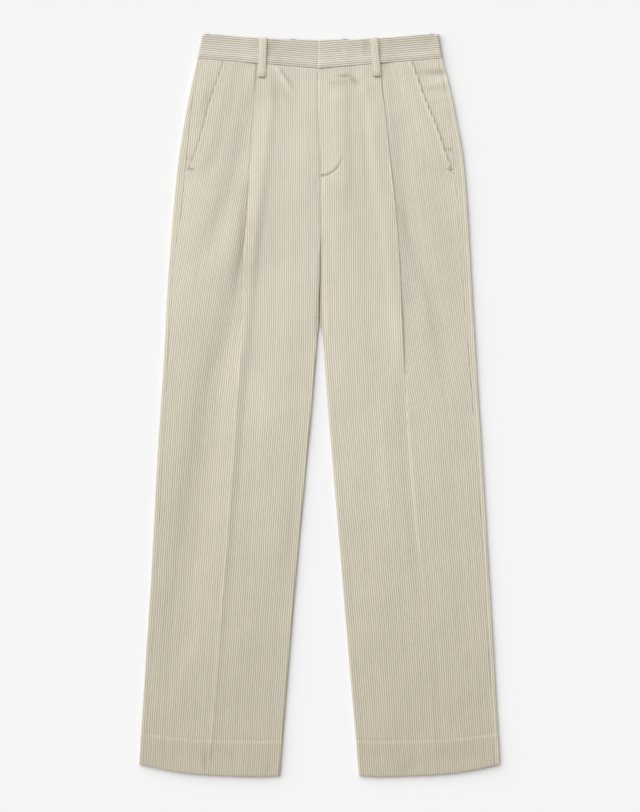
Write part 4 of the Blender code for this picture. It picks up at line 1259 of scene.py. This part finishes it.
def strip_columns(wales, cloth):
    """A belt loop's columns: each one's place from -1 to 1, its turn, and those that the underside keeps."""
    share = with_rims(np.linspace(-1, 1, wales * cloth["columns"]))
    last = len(share) - 1
    return share, rim_turns(len(share)), np.array([0, RIMS, last // 2, last - RIMS, last])


def belt_loop(side, cloth):
    """A front belt loop: a folded strip over the band, its long edges and both ends rolled over.

    Its half width shrinks near the foot as the quarter of a circle does, so its corners are round.
    """
    foot = LOOP_FOOT[side]
    ends = (LOOP_TOP, LOOP_BEND, foot - LOOP_FOOT_LENGTH, foot)
    top, body, tip = (np.linspace(*stretch) for stretch in zip(ends, ends[1:], LOOP_ROWS))
    down = with_rims(np.concatenate((top[:-1], body[:-1], tip)))
    height = read(FRONT_LOOP, "height", down)
    half = read(FRONT_LOOP, "half", down)
    row_turn = rim_turns(len(down))
    near_foot = np.clip((down - (foot - LOOP_CORNER)) / LOOP_CORNER, 0, 1)
    rounded = LOOP_CORNER * LOOP_CORNER_SHARE * (1 - np.sqrt(1 - LOOP_CORNER_TURN * near_foot ** 2))
    width = LOOP_WIDTH / 2 - LOOP_EDGE - rounded
    share, column_turn, kept = strip_columns(LOOP_WALES["front"], cloth)
    aside = width[:, None] * share
    grain = (LOOP_WIDTH / 2) * share + cloth["pitch"] / 2 + 0 * aside
    crown = LOOP_CROWN * (1 - share ** 2)
    run = np.stack((np.gradient(down), np.gradient(height)), axis=-1)
    moves = np.abs(run[:, 0]) > SHORTEST_STEP
    slope = np.where(moves, run[:, 1] / np.maximum(run[:, 0], SHORTEST_STEP), 0.0)
    slope = np.clip(slope, -LOOP_STEEPEST, LOOP_STEEPEST)
    length = np.hypot(1, slope)
    up = np.stack((0 * slope, -slope / length, 1 / length), axis=-1)[:, None]
    along = np.stack((0 * slope, 1 / length, slope / length), axis=-1)[:, None]
    over_end = np.cos(row_turn)[:, None, None] * up + np.sin(row_turn)[:, None, None] * along
    rolled = np.cos(column_turn)[None, :, None] * over_end + np.sin(column_turn)[None, :, None] * ACROSS_AXIS
    middle = loop_middle(side, down)[:, None]
    line = points_at(middle + aside, down[:, None], height[:, None] + crown)
    face = LOOP_HALF + LOOP_RELIEF * cloth["relief"] * pile(grain, cloth)
    face = rim_face(face, column_turn, LOOP_HALF + LOOP_RIM)
    over = line + rolled * face[..., None]
    under = (line - up * half[:, None, None])[:, kept]
    # Painted shade towards the foot, darkest at the turned-under end
    first, last = LOOP_FOOT_SHADE_ENDS
    tone = LOOP_FOOT_SHADE * ramp(down, foot - first, foot - last)
    tone = tone + LOOP_END_SHADE * ramp(down, foot - LOOP_END_SHADE_LENGTH, foot)
    return shell(mirrored(over, SIDES[side]), mirrored(under, SIDES[side]), kept,
                 np.stack((grain, -down[:, None] + 0 * grain), axis=-1), tone[:, None] + 0 * grain)


def back_loop(middle, cloth):
    """A back belt loop, a flat strip between the band and the surface, with rolled long edges."""
    first = float(band_top(middle)) + BACK_LOOP_INSET
    last_down = float(band_seam(middle)) - BACK_LOOP_INSET
    down = np.linspace(first, last_down, BACK_LOOP_ROWS)[:, None]
    width = LOOP_WIDTH / 2 - BACK_LOOP_EDGE
    share, column_turn, kept = strip_columns(LOOP_WALES["back"], cloth)
    across = middle + width * share + 0 * down
    grain = width * share + cloth["pitch"] / 2 + 0 * across
    line = points_at(across, down, LOOP_HALF)
    rolled = np.stack((np.sin(column_turn), 0 * column_turn, np.cos(column_turn)), axis=-1)[None]
    face = LOOP_HALF * BACK_LOOP_FACE + BACK_LOOP_RELIEF * cloth["relief"] * pile(grain, cloth)
    over = line + rolled * face[..., None]
    under = (line - np.array([0, 0, LOOP_HALF]))[:, kept]
    return shell(mirrored(over, 1.0), mirrored(under, 1.0), kept,
                 np.stack((grain, -down + 0 * grain), axis=-1), 0 * grain)


# ---- Sewing ----
STITCH_RING = np.linspace(0, 2 * np.pi, 5)[:-1]
STITCH_SHARE = np.array([0.0, 0.18, 0.5, 0.82, 1.0])
STITCH_LIFT = np.array([-0.5, 0.3, 0.55, 0.3, -0.5])
STITCH_THICK = np.array([0.5, 1.0, 1.0, 1.0, 0.5])


def stitches(starts, ends, radius):
    """Short threads from each start to each end: four-sided tubes that rise out of the cloth and dip back."""
    along = ends - starts
    forward = along / np.linalg.norm(along, axis=1, keepdims=True)
    aside = np.cross(forward, (0.0, 0.0, 1.0))
    aside = aside / np.linalg.norm(aside, axis=1, keepdims=True)
    up = np.cross(aside, forward)
    spine = starts[:, None] + along[:, None] * STITCH_SHARE[None, :, None]
    spine = spine + up[:, None] * (STITCH_LIFT * radius)[None, :, None]
    ring = np.cos(STITCH_RING)[:, None, None, None] * aside[None, :, None]
    ring = ring + np.sin(STITCH_RING)[:, None, None, None] * up[None, :, None]
    points = spine[None] + ring * (radius * STITCH_THICK)[None, None, :, None]
    points = np.moveaxis(points, 0, 2)
    count, rings, sides = points.shape[:3]
    index = np.arange(count * rings * sides).reshape(count, rings, sides)
    after = np.roll(index, -1, axis=2)
    a, b, c, d = (corner.ravel() for corner in (index[:, :-1], index[:, 1:], after[:, 1:], after[:, :-1]))
    first, last = index[:, 0], index[:, -1]
    faces = np.vstack((np.stack((a, b, c), axis=1), np.stack((a, c, d), axis=1),
                       first[:, [0, 1, 2]], first[:, [0, 2, 3]], last[:, [0, 2, 1]], last[:, [0, 3, 2]]))
    return points.reshape(-1, 3), faces


def on_front(side, across, down, cloth):
    """World millimetres of points that lie on the face of a front."""
    height = cloth_height(side, down, across, cloth["depth"]) + front_rise(side, down, across)
    height = height - GROOVE_DEPTH * stitched_groove(side, down, across) + hem_dents(down, across)
    return place(side, across, down, height + cloth["half"] + THREAD_HEIGHT * cloth["relief"])


def bar_tack(kind, middle, along, aside):
    """Starts, ends and radius of the close stitches of a bar tack, which cross it from side to side."""
    length, width, count, radius = TACKS[kind]
    share = np.linspace(-0.5, 0.5, count)[:, None]
    centre = middle + share * length * along
    return centre - 0.5 * width * aside, centre + 0.5 * width * aside, radius


# ---- Materials ----
def add_node(tree, kind, x, y, **settings):
    """A node of the kind, at a place in the editor, with its settings."""
    node = tree.nodes.new(kind)
    node.location = (x, y)
    for name, value in settings.items():
        setattr(node, name, value)
    return node


def math_node(tree, operation, x, y, a, b=None):
    """A Math node whose inputs are sockets or numbers."""
    node = add_node(tree, "ShaderNodeMath", x, y, operation=operation)
    for socket, value in zip(node.inputs, (a, b)):
        if isinstance(value, bpy.types.NodeSocket):
            tree.links.new(value, socket)
        elif value is not None:
            socket.default_value = value
    return node.outputs[0]


def noise_node(tree, x, y, vector, scale, detail=2.0, roughness=0.5):
    """The value of a Noise texture at a place."""
    node = add_node(tree, "ShaderNodeTexNoise", x, y)
    tree.links.new(vector, node.inputs["Vector"])
    node.inputs["Scale"].default_value = scale
    node.inputs["Detail"].default_value = detail
    node.inputs["Roughness"].default_value = roughness
    return node.outputs["Fac"]


def scaled_place(tree, x, y, vector, scale):
    """A place on the cloth, stretched by a factor along each axis."""
    node = add_node(tree, "ShaderNodeVectorMath", x, y, operation="MULTIPLY")
    tree.links.new(vector, node.inputs[0])
    node.inputs[1].default_value = scale
    return node.outputs[0]


def corduroy_group():
    """Colour and pile height of corduroy from a place on the cloth, in metres across and along the wales.

    A wale's groove is where the distance across, divided by the pitch, is a whole number. The groove's edge
    is ragged with tufts, each wale has its own slight shade, the nap lies in soft patches, and fine fuzz
    covers it all. The tone, which holds the painted light and shade, brightens or darkens it, and where it
    darkens it is warmer too.
    """
    tree = bpy.data.node_groups.new("Corduroy Pile", "ShaderNodeTree")
    sockets = tree.interface
    sockets.new_socket("Cloth Place", in_out="INPUT", socket_type="NodeSocketVector")
    sockets.new_socket("Pile Colour", in_out="INPUT", socket_type="NodeSocketColor")
    sockets.new_socket("Groove Colour", in_out="INPUT", socket_type="NodeSocketColor")
    for name, value in (("Wale Pitch", 0.0031), ("Groove Width", 0.34), ("Raggedness", 0.14),
                        ("Patchiness", 0.05), ("Fuzz", 0.10), ("Tone", 0.0)):
        socket = sockets.new_socket(name, in_out="INPUT", socket_type="NodeSocketFloat")
        socket.default_value = value
    sockets.new_socket("Colour", in_out="OUTPUT", socket_type="NodeSocketColor")
    sockets.new_socket("Height", in_out="OUTPUT", socket_type="NodeSocketFloat")
    given = add_node(tree, "NodeGroupInput", -1500, 0)
    result = add_node(tree, "NodeGroupOutput", 900, 0)
    spot = given.outputs["Cloth Place"]
    split = add_node(tree, "ShaderNodeSeparateXYZ", -1300, 200)
    tree.links.new(spot, split.inputs[0])

    tufts = noise_node(tree, -1100, -200, scaled_place(tree, -1300, -200, spot, TUFTS), 1.0, 3.0)
    phase = math_node(tree, "DIVIDE", -1100, 200, split.outputs["X"], given.outputs["Wale Pitch"])
    turn = math_node(tree, "FRACT", -950, 200, phase)
    centred = math_node(tree, "SUBTRACT", -800, 200, turn, 0.5)
    off = math_node(tree, "MULTIPLY", -500, 200, math_node(tree, "ABSOLUTE", -650, 200, centred), 2.0)
    rag = math_node(tree, "MULTIPLY", -800, -100, math_node(tree, "SUBTRACT", -950, -100, tufts, 0.5),
                    given.outputs["Raggedness"])
    ragged = math_node(tree, "ADD", -350, 150, off, rag)
    groove = add_node(tree, "ShaderNodeMapRange", -150, 150, interpolation_type="SMOOTHSTEP")
    tree.links.new(ragged, groove.inputs["Value"])
    tree.links.new(math_node(tree, "SUBTRACT", -350, 0, 1.0, given.outputs["Groove Width"]),
                   groove.inputs["From Min"])
    groove.inputs["From Max"].default_value = 1.0

    number = math_node(tree, "FLOOR", -950, 400, phase)
    own = add_node(tree, "ShaderNodeTexWhiteNoise", -800, 400, noise_dimensions="1D")
    tree.links.new(number, own.inputs["W"])
    patches = noise_node(tree, -800, 600, spot, PATCHES, 3.0, 0.55)
    streaks = noise_node(tree, -800, 800, scaled_place(tree, -1000, 800, spot, STREAKS), 1.0, 2.0)
    fuzz = noise_node(tree, -800, 1000, scaled_place(tree, -1000, 1000, spot, FUZZ), 1.0, 3.0, 0.65)
    shade = math_node(tree, "ADD", -450, 600, math_node(tree, "SUBTRACT", -600, 600, patches, 0.5),
                      math_node(tree, "SUBTRACT", -600, 800, streaks, 0.5))
    shade = math_node(tree, "ADD", -300, 600, shade,
                      math_node(tree, "MULTIPLY", -450, 400,
                                math_node(tree, "SUBTRACT", -600, 400, own.outputs["Value"], 0.5),
                                OWN_SHADE))
    shade = math_node(tree, "MULTIPLY", -150, 600, shade, given.outputs["Patchiness"])
    fine = math_node(tree, "MULTIPLY", -150, 900, math_node(tree, "SUBTRACT", -300, 900, fuzz, 0.5),
                     given.outputs["Fuzz"])
    bright = math_node(tree, "ADD", 150, 600, math_node(tree, "ADD", 0, 600, shade, fine),
                       math_node(tree, "ADD", 0, 450, given.outputs["Tone"], 1.0))

    mixed = add_node(tree, "ShaderNodeMix", 150, 200, data_type="RGBA")
    tree.links.new(groove.outputs["Result"], mixed.inputs["Factor"])
    tree.links.new(given.outputs["Pile Colour"], mixed.inputs["A"])
    tree.links.new(given.outputs["Groove Colour"], mixed.inputs["B"])
    warmth = add_node(tree, "ShaderNodeVectorMath", 400, 500, operation="MULTIPLY_ADD")
    tree.links.new(given.outputs["Tone"], warmth.inputs[0])
    warmth.inputs[1].default_value = WARMTH
    tree.links.new(bright, warmth.inputs[2])
    scaled = add_node(tree, "ShaderNodeVectorMath", 600, 200, operation="MULTIPLY")
    tree.links.new(mixed.outputs["Result"], scaled.inputs[0])
    tree.links.new(warmth.outputs[0], scaled.inputs[1])
    tree.links.new(scaled.outputs[0], result.inputs["Colour"])

    fallen = math_node(tree, "POWER", 0, -100, off, WALE_POWER)
    round_top = math_node(tree, "SUBTRACT", 150, -100, 1.0, fallen)
    fuzzy = math_node(tree, "MULTIPLY", 250, -200, fuzz, FUZZ_HEIGHT)
    height = math_node(tree, "ADD", 400, -100, round_top, fuzzy)
    tree.links.new(height, result.inputs["Height"])
    return tree


def corduroy_material(name, group, colours, pitch, groove_width):
    """A corduroy material: the pile group on the cloth's own map, a fabric sheen and a little bump."""
    material = bpy.data.materials.new(name)
    material.use_nodes = True
    tree = material.node_tree
    shader = tree.nodes["Principled BSDF"]
    shader.inputs["Roughness"].default_value = 0.9
    shader.inputs["Specular IOR Level"].default_value = 0.2
    shader.inputs["Sheen Weight"].default_value = 0.3
    shader.inputs["Sheen Roughness"].default_value = 0.45
    shader.inputs["Sheen Tint"].default_value = (1.0, 0.97, 0.9, 1.0)
    uv = add_node(tree, "ShaderNodeUVMap", -700, 100, uv_map="cloth")
    tone = add_node(tree, "ShaderNodeAttribute", -700, -100, attribute_name="tone")
    cloth = add_node(tree, "ShaderNodeGroup", -450, 100, node_tree=group)
    tree.links.new(uv.outputs["UV"], cloth.inputs["Cloth Place"])
    tree.links.new(tone.outputs["Fac"], cloth.inputs["Tone"])
    cloth.inputs["Pile Colour"].default_value = (*colours[0], 1.0)
    cloth.inputs["Groove Colour"].default_value = (*colours[1], 1.0)
    cloth.inputs["Wale Pitch"].default_value = pitch
    cloth.inputs["Patchiness"].default_value = 0.07
    cloth.inputs["Groove Width"].default_value = groove_width
    tree.links.new(cloth.outputs["Colour"], shader.inputs["Base Color"])
    bump = add_node(tree, "ShaderNodeBump", -200, -200)
    bump.inputs["Strength"].default_value = 1.0
    bump.inputs["Distance"].default_value = 0.00006
    tree.links.new(cloth.outputs["Height"], bump.inputs["Height"])
    tree.links.new(bump.outputs["Normal"], shader.inputs["Normal"])
    return material


def thread_material(colour):
    """Sewing thread: fine twist along the thread as a slight change of shade."""
    material = bpy.data.materials.new("sewing_thread")
    material.use_nodes = True
    tree = material.node_tree
    shader = tree.nodes["Principled BSDF"]
    shader.inputs["Roughness"].default_value = 0.6
    shader.inputs["Sheen Weight"].default_value = 0.2
    where = add_node(tree, "ShaderNodeTexCoord", -900, 100)
    twist = noise_node(tree, -650, 100, where.outputs["Object"], TWIST, 2.0)
    ramp_node = add_node(tree, "ShaderNodeMapRange", -450, 100)
    tree.links.new(twist, ramp_node.inputs["Value"])
    ramp_node.inputs["To Min"].default_value = 0.86
    ramp_node.inputs["To Max"].default_value = 1.08
    scaled = add_node(tree, "ShaderNodeVectorMath", -220, 100, operation="SCALE")
    scaled.inputs[0].default_value = colour
    tree.links.new(ramp_node.outputs["Result"], scaled.inputs["Scale"])
    tree.links.new(scaled.outputs[0], shader.inputs["Base Color"])
    return material


def floor_material(colour):
    """The plain pale floor, quite matt."""
    material = bpy.data.materials.new("studio_floor")
    material.use_nodes = True
    tree = material.node_tree
    shader = tree.nodes["Principled BSDF"]
    shader.inputs["Roughness"].default_value = 1.0
    shader.inputs["Specular IOR Level"].default_value = 0.0
    shader.inputs["Base Color"].default_value = (*colour, 1.0)
    return material


# ---- Settings ----
def colour_setting(name, description, default):
    """A setting for a colour."""
    return bpy.props.FloatVectorProperty(
        name=name, description=description, subtype="COLOR", size=3, default=default, min=0.0, max=1.0)


class TrousersCloth(bpy.types.PropertyGroup):
    """Sizes and colours of the corduroy."""
    wale_pitch: bpy.props.FloatProperty(
        name="Wale Pitch", description="Distance from one wale to the next", default=0.0031, min=0.001,
        max=0.008, precision=5, unit="LENGTH")
    wale_height: bpy.props.FloatProperty(
        name="Wale Height", description="How far a wale's crest stands over its groove", default=0.00042,
        min=0.0, max=0.002, precision=5, unit="LENGTH")
    half_thickness: bpy.props.FloatProperty(
        name="Half Thickness", description="Half the thickness of the cloth without its pile",
        default=0.00065, min=0.0003, max=0.001, precision=5, unit="LENGTH")
    columns: bpy.props.IntProperty(
        name="Columns per Wale", description="How finely a wale is rounded", default=5, min=2, max=6)
    fold_depth: bpy.props.FloatProperty(
        name="Fold Depth", description="Strength of the soft creases and dents", default=1.2, min=0.0,
        max=2.0)
    pile_colour: colour_setting(
        "Pile Colour", "Colour of the wales on the leg panels", (0.63, 0.585, 0.485))
    groove_colour: colour_setting(
        "Groove Colour", "Colour of the ground between the wales", (0.4, 0.35, 0.268))
    # The waistband's colours hold painted shade for wales that run across the light: darker grooves, cooler
    # pile
    band_pile_colour: colour_setting(
        "Waistband Pile Colour", "Colour of the wales where they run across", (0.625, 0.588, 0.5))
    band_groove_colour: colour_setting(
        "Waistband Groove Colour", "Colour of the ground between the wales that run across",
        (0.22, 0.175, 0.112))
    thread_colour: colour_setting("Thread Colour", "Colour of the sewing thread", (0.44, 0.39, 0.3))


class TrousersStage(bpy.types.PropertyGroup):
    """The floor, lights and camera."""
    floor_colour: colour_setting("Floor Colour", "Colour of the floor", (0.806, 0.806, 0.806))
    sun_strength: bpy.props.FloatProperty(
        name="Key Strength", description="Strength of the soft key light", default=4.1, min=0.0, max=10.0)
    sun_softness: bpy.props.FloatProperty(
        name="Key Softness", description="Angle that the key light fills", default=math.radians(90),
        min=0.0, max=math.pi, subtype="ANGLE")
    sun_tilt: bpy.props.FloatProperty(
        name="Key Tilt", description="How far the key light leans from straight above",
        default=math.radians(55), min=0.0, max=math.pi / 2, subtype="ANGLE")
    fill_strength: bpy.props.FloatProperty(
        name="Fill Strength", description="Strength of the even light from all round", default=0.38,
        min=0.0, max=5.0)
    camera_distance: bpy.props.FloatProperty(
        name="Camera Distance", description="Height of the camera over the floor", default=12.0, min=1.0,
        max=50.0, unit="LENGTH")
    view_height: bpy.props.FloatProperty(
        name="View Height", description="Length of floor that the picture shows from top to bottom",
        default=1.1612, min=0.1, max=5.0, unit="LENGTH")


def cloth_of(context):
    """The cloth's settings in millimetres."""
    settings = context.scene.trousers_cloth
    return {"pitch": settings.wale_pitch / MM, "relief": settings.wale_height / MM,
            "half": settings.half_thickness / MM, "columns": settings.columns, "depth": settings.fold_depth}


def cloth_material(context, name):
    """The named corduroy, made once from the settings."""
    if name in bpy.data.materials:
        return bpy.data.materials[name]
    settings = context.scene.trousers_cloth
    group = bpy.data.node_groups.get("Corduroy Pile") or corduroy_group()
    colours = (tuple(settings.pile_colour), tuple(settings.groove_colour))
    groove_width = PILE_GROOVE["panel"]
    # The waistband gets its colours with painted shade, and narrower grooves
    if name == "waistband_cloth":
        colours = (tuple(settings.band_pile_colour), tuple(settings.band_groove_colour))
        groove_width = PILE_GROOVE["waistband"]
    return corduroy_material(name, group, colours, settings.wale_pitch, groove_width)


# ---- Operators ----
def make_cloth(context, material_name, pieces):
    """Makes pieces of one cloth from their names, shells and nodes; each one's cut and what it rests on are
    not used.
    """
    material = cloth_material(context, material_name)
    for name, built, node, cut, rests_on in pieces:
        dress(make_mesh(name, *built, material), node)
    return {"FINISHED"}


class TROUSERS_OT_fronts(bpy.types.Operator):
    """Makes both front panels with their pleats and pressed creases"""
    bl_idname = "trousers.fronts"
    bl_label = "Front Panels"

    def execute(self, context):
        cloth = cloth_of(context)
        return make_cloth(context, "panel_cloth", [
            (side + "_front_cloth", front_panel(side, cloth), "front_" + side, "front", ["back_" + side])
            for side in SIDES])


class TROUSERS_OT_backs(bpy.types.Operator):
    """Makes both back panels, flat beneath and round the outside of each leg"""
    bl_idname = "trousers.backs"
    bl_label = "Back Panels"

    def execute(self, context):
        cloth = cloth_of(context)
        return make_cloth(context, "back_cloth", [
            (side + "_back_cloth", back_panel(side, cloth), "back_" + side, "back", ["studio_floor"])
            for side in SIDES])


class TROUSERS_OT_pocket_facings(bpy.types.Operator):
    """Makes the hip pieces that show behind the slant pockets"""
    bl_idname = "trousers.pocket_facings"
    bl_label = "Pocket Facings"

    def execute(self, context):
        cloth = cloth_of(context)
        return make_cloth(context, "facing_cloth", [
            (side + "_pocket_facing_cloth", pocket_facing(side, cloth), "pocket_facing_" + side,
             "pocket_facing", ["back_" + side])
            for side in SIDES])


class TROUSERS_OT_waistband(bpy.types.Operator):
    """Makes both halves of the waistband, the left lapped over the right"""
    bl_idname = "trousers.waistband"
    bl_label = "Waistband"

    def execute(self, context):
        cloth = cloth_of(context)
        return make_cloth(context, "waistband_cloth", [
            (side + "_waistband_cloth", waistband(side, cloth), "waistband_" + side, "waistband_" + side,
             ["back_" + side, "front_" + side])
            for side in SIDES])


class TROUSERS_OT_belt_loops(bpy.types.Operator):
    """Makes the two front belt loops and the three back ones"""
    bl_idname = "trousers.belt_loops"
    bl_label = "Belt Loops"

    def execute(self, context):
        cloth = cloth_of(context)
        fronts = [(side + "_front_loop_cloth", belt_loop(side, cloth), "belt_loop_front_" + side,
                   "belt_loop_front", ["waistband_" + side]) for side in SIDES]
        backs = [(name + "_back_loop_cloth", back_loop(middle, cloth), "belt_loop_back_" + name,
                  "belt_loop_back", ["studio_floor"]) for name, middle in BACK_LOOPS.items()]
        return make_cloth(context, "loop_cloth", fronts + backs)


class TROUSERS_OT_sewing(bpy.types.Operator):
    """Sews the fly, the bar tacks and the hems"""
    bl_idname = "trousers.sewing"
    bl_label = "Sewing"

    def execute(self, context):
        cloth = cloth_of(context)
        thread = thread_material(tuple(context.scene.trousers_cloth.thread_colour))

        share = np.linspace(0, 1, FLY_STITCHES + 1)
        line = on_front("left", read(FLY_STITCH, "across", share), read(FLY_STITCH, "down", share), cloth)
        gap = STITCH_GAP * np.diff(line, axis=0)
        self.sew("fly_stitching", line[:-1] + gap, line[1:] - gap, FLY_THREAD, thread)

        for side, stretch in HEM_SEWN.items():
            across = np.arange(*stretch, HEM_STITCH)
            middle = on_front(side, across, np.full(len(across), HEM_TOP), cloth)
            self.sew(side + "_hem_stitching", middle - HEM_SLANT, middle + HEM_SLANT, HEM_THREAD, thread)

        for side, across in POCKET_TACK_ACROSS.items():
            middle = on_front(side, np.array(across), np.array(POCKET_TACK_DOWN), cloth)
            self.sew(side + "_pocket_tack", *bar_tack("pocket", middle, ACROSS_AXIS, DOWN_AXIS), thread)
        middle = on_front("left", np.array(FLY_TACK_ACROSS), np.array(FLY_TACK_DOWN), cloth)
        self.sew("fly_tack", *bar_tack("fly", middle, ACROSS_AXIS, DOWN_AXIS), thread)

        rise = BAND_HALF + depth_of_band("left", BAND_TACK_ACROSS, BAND_TACK_RISE) + BAND_TACK_HEIGHT
        height = float(read(BAND_HEIGHT, "height", BAND_TACK_ACROSS)) + BAND_LAP_RISE + rise
        middle = np.array([BAND_TACK_ACROSS, LENGTH / 2 - BAND_TACK_DOWN, height])
        self.sew("waistband_tack", *bar_tack("waistband", middle, DOWN_AXIS, ACROSS_AXIS), thread)

        for side, way in SIDES.items():
            foot = LOOP_FOOT[side]
            across = way * loop_middle(side, foot)
            middle = np.array([across, LENGTH / 2 - foot + LOOP_TACK_ABOVE, LOOP_TACK_HEIGHT])
            self.sew(side + "_loop_tack", *bar_tack("loop", middle, ACROSS_AXIS, DOWN_AXIS), thread)
        return {"FINISHED"}

    def sew(self, name, starts, ends, radius, thread):
        """Makes a run of stitches a piece of its own."""
        points, faces = stitches(starts, ends, radius)
        piece = make_mesh(name, points, faces, points[:, :2], np.zeros(len(points)), thread)
        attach(piece, "root")


class TROUSERS_OT_stage(bpy.types.Operator):
    """Makes the pale floor, the soft lights and the camera straight above"""
    bl_idname = "trousers.stage"
    bl_label = "Stage"

    def execute(self, context):
        settings = context.scene.trousers_stage
        angle = np.linspace(0, 2 * np.pi, FLOOR_SIDES + 1)[:-1]
        rim = np.stack((np.cos(angle), np.sin(angle), 0 * angle), axis=1) * FLOOR_RADIUS
        mesh = bpy.data.meshes.new("studio_floor")
        mesh.from_pydata((rim - (0, 0, FLOOR_DROP)).tolist(), [], [list(range(len(rim)))])
        mesh.materials.append(floor_material(tuple(settings.floor_colour)))
        floor = bpy.data.objects.new("studio_floor", mesh)
        context.scene.collection.objects.link(floor)

        lamp = bpy.data.lights.new("key_light", "SUN")
        lamp.energy = settings.sun_strength
        lamp.angle = settings.sun_softness
        key = bpy.data.objects.new("key_light", lamp)
        tilt = settings.sun_tilt
        towards = Vector((math.sin(tilt) * KEY_WAY[0], math.sin(tilt) * KEY_WAY[1], math.cos(tilt)))
        key.rotation_mode = "QUATERNION"
        key.rotation_quaternion = towards.to_track_quat("Z", "Y")
        key.location = towards * KEY_DISTANCE
        context.scene.collection.objects.link(key)

        world = bpy.data.worlds.new("studio")
        world.use_nodes = True
        background = world.node_tree.nodes["Background"]
        background.inputs["Color"].default_value = (1.0, 1.0, 1.0, 1.0)
        background.inputs["Strength"].default_value = settings.fill_strength
        context.scene.world = world
        context.scene.view_settings.view_transform = "Standard"
        context.scene.view_settings.look = "None"

        lens = bpy.data.cameras.new("camera")
        lens.sensor_fit = "AUTO"
        lens.sensor_width = FILM_WIDTH
        lens.lens = FILM_WIDTH * settings.camera_distance / settings.view_height
        lens.clip_end = VIEW_END
        camera = bpy.data.objects.new("camera", lens)
        camera.location = (*CAMERA_PLACE, settings.camera_distance)
        context.scene.collection.objects.link(camera)
        context.scene.camera = camera
        return {"FINISHED"}


class TROUSERS_PT_panel(bpy.types.Panel):
    """Lists the trousers' pieces and settings"""
    bl_idname = "TROUSERS_PT_panel"
    bl_label = "Trousers"
    bl_space_type = "VIEW_3D"
    bl_region_type = "UI"
    bl_category = "Trousers"

    def draw(self, context):
        layout = self.layout
        for settings in (context.scene.trousers_cloth, context.scene.trousers_stage):
            box = layout.box()
            for name in settings.bl_rna.properties.keys():
                if name not in ("rna_type", "name"):
                    box.prop(settings, name)
        for operator in OPERATORS:
            layout.operator(operator.bl_idname)


OPERATORS = (TROUSERS_OT_fronts, TROUSERS_OT_backs, TROUSERS_OT_pocket_facings, TROUSERS_OT_waistband,
             TROUSERS_OT_belt_loops, TROUSERS_OT_sewing, TROUSERS_OT_stage)
CLASSES = (TrousersCloth, TrousersStage, *OPERATORS, TROUSERS_PT_panel)


def register():
    """Adds the classes and the scene's settings."""
    for cls in CLASSES:
        bpy.utils.register_class(cls)
    bpy.types.Scene.trousers_cloth = bpy.props.PointerProperty(type=TrousersCloth)
    bpy.types.Scene.trousers_stage = bpy.props.PointerProperty(type=TrousersStage)


def unregister():
    """Takes the scene's settings and the classes away again."""
    del bpy.types.Scene.trousers_stage
    del bpy.types.Scene.trousers_cloth
    for cls in reversed(CLASSES):
        bpy.utils.unregister_class(cls)


def main():
    """Makes every piece and the stage."""
    register()
    bpy.ops.trousers.fronts()
    bpy.ops.trousers.backs()
    bpy.ops.trousers.pocket_facings()
    bpy.ops.trousers.waistband()
    bpy.ops.trousers.belt_loops()
    bpy.ops.trousers.sewing()
    bpy.ops.trousers.stage()
    bpy.context.view_layer.update()


if __name__ == "__main__":
    main()
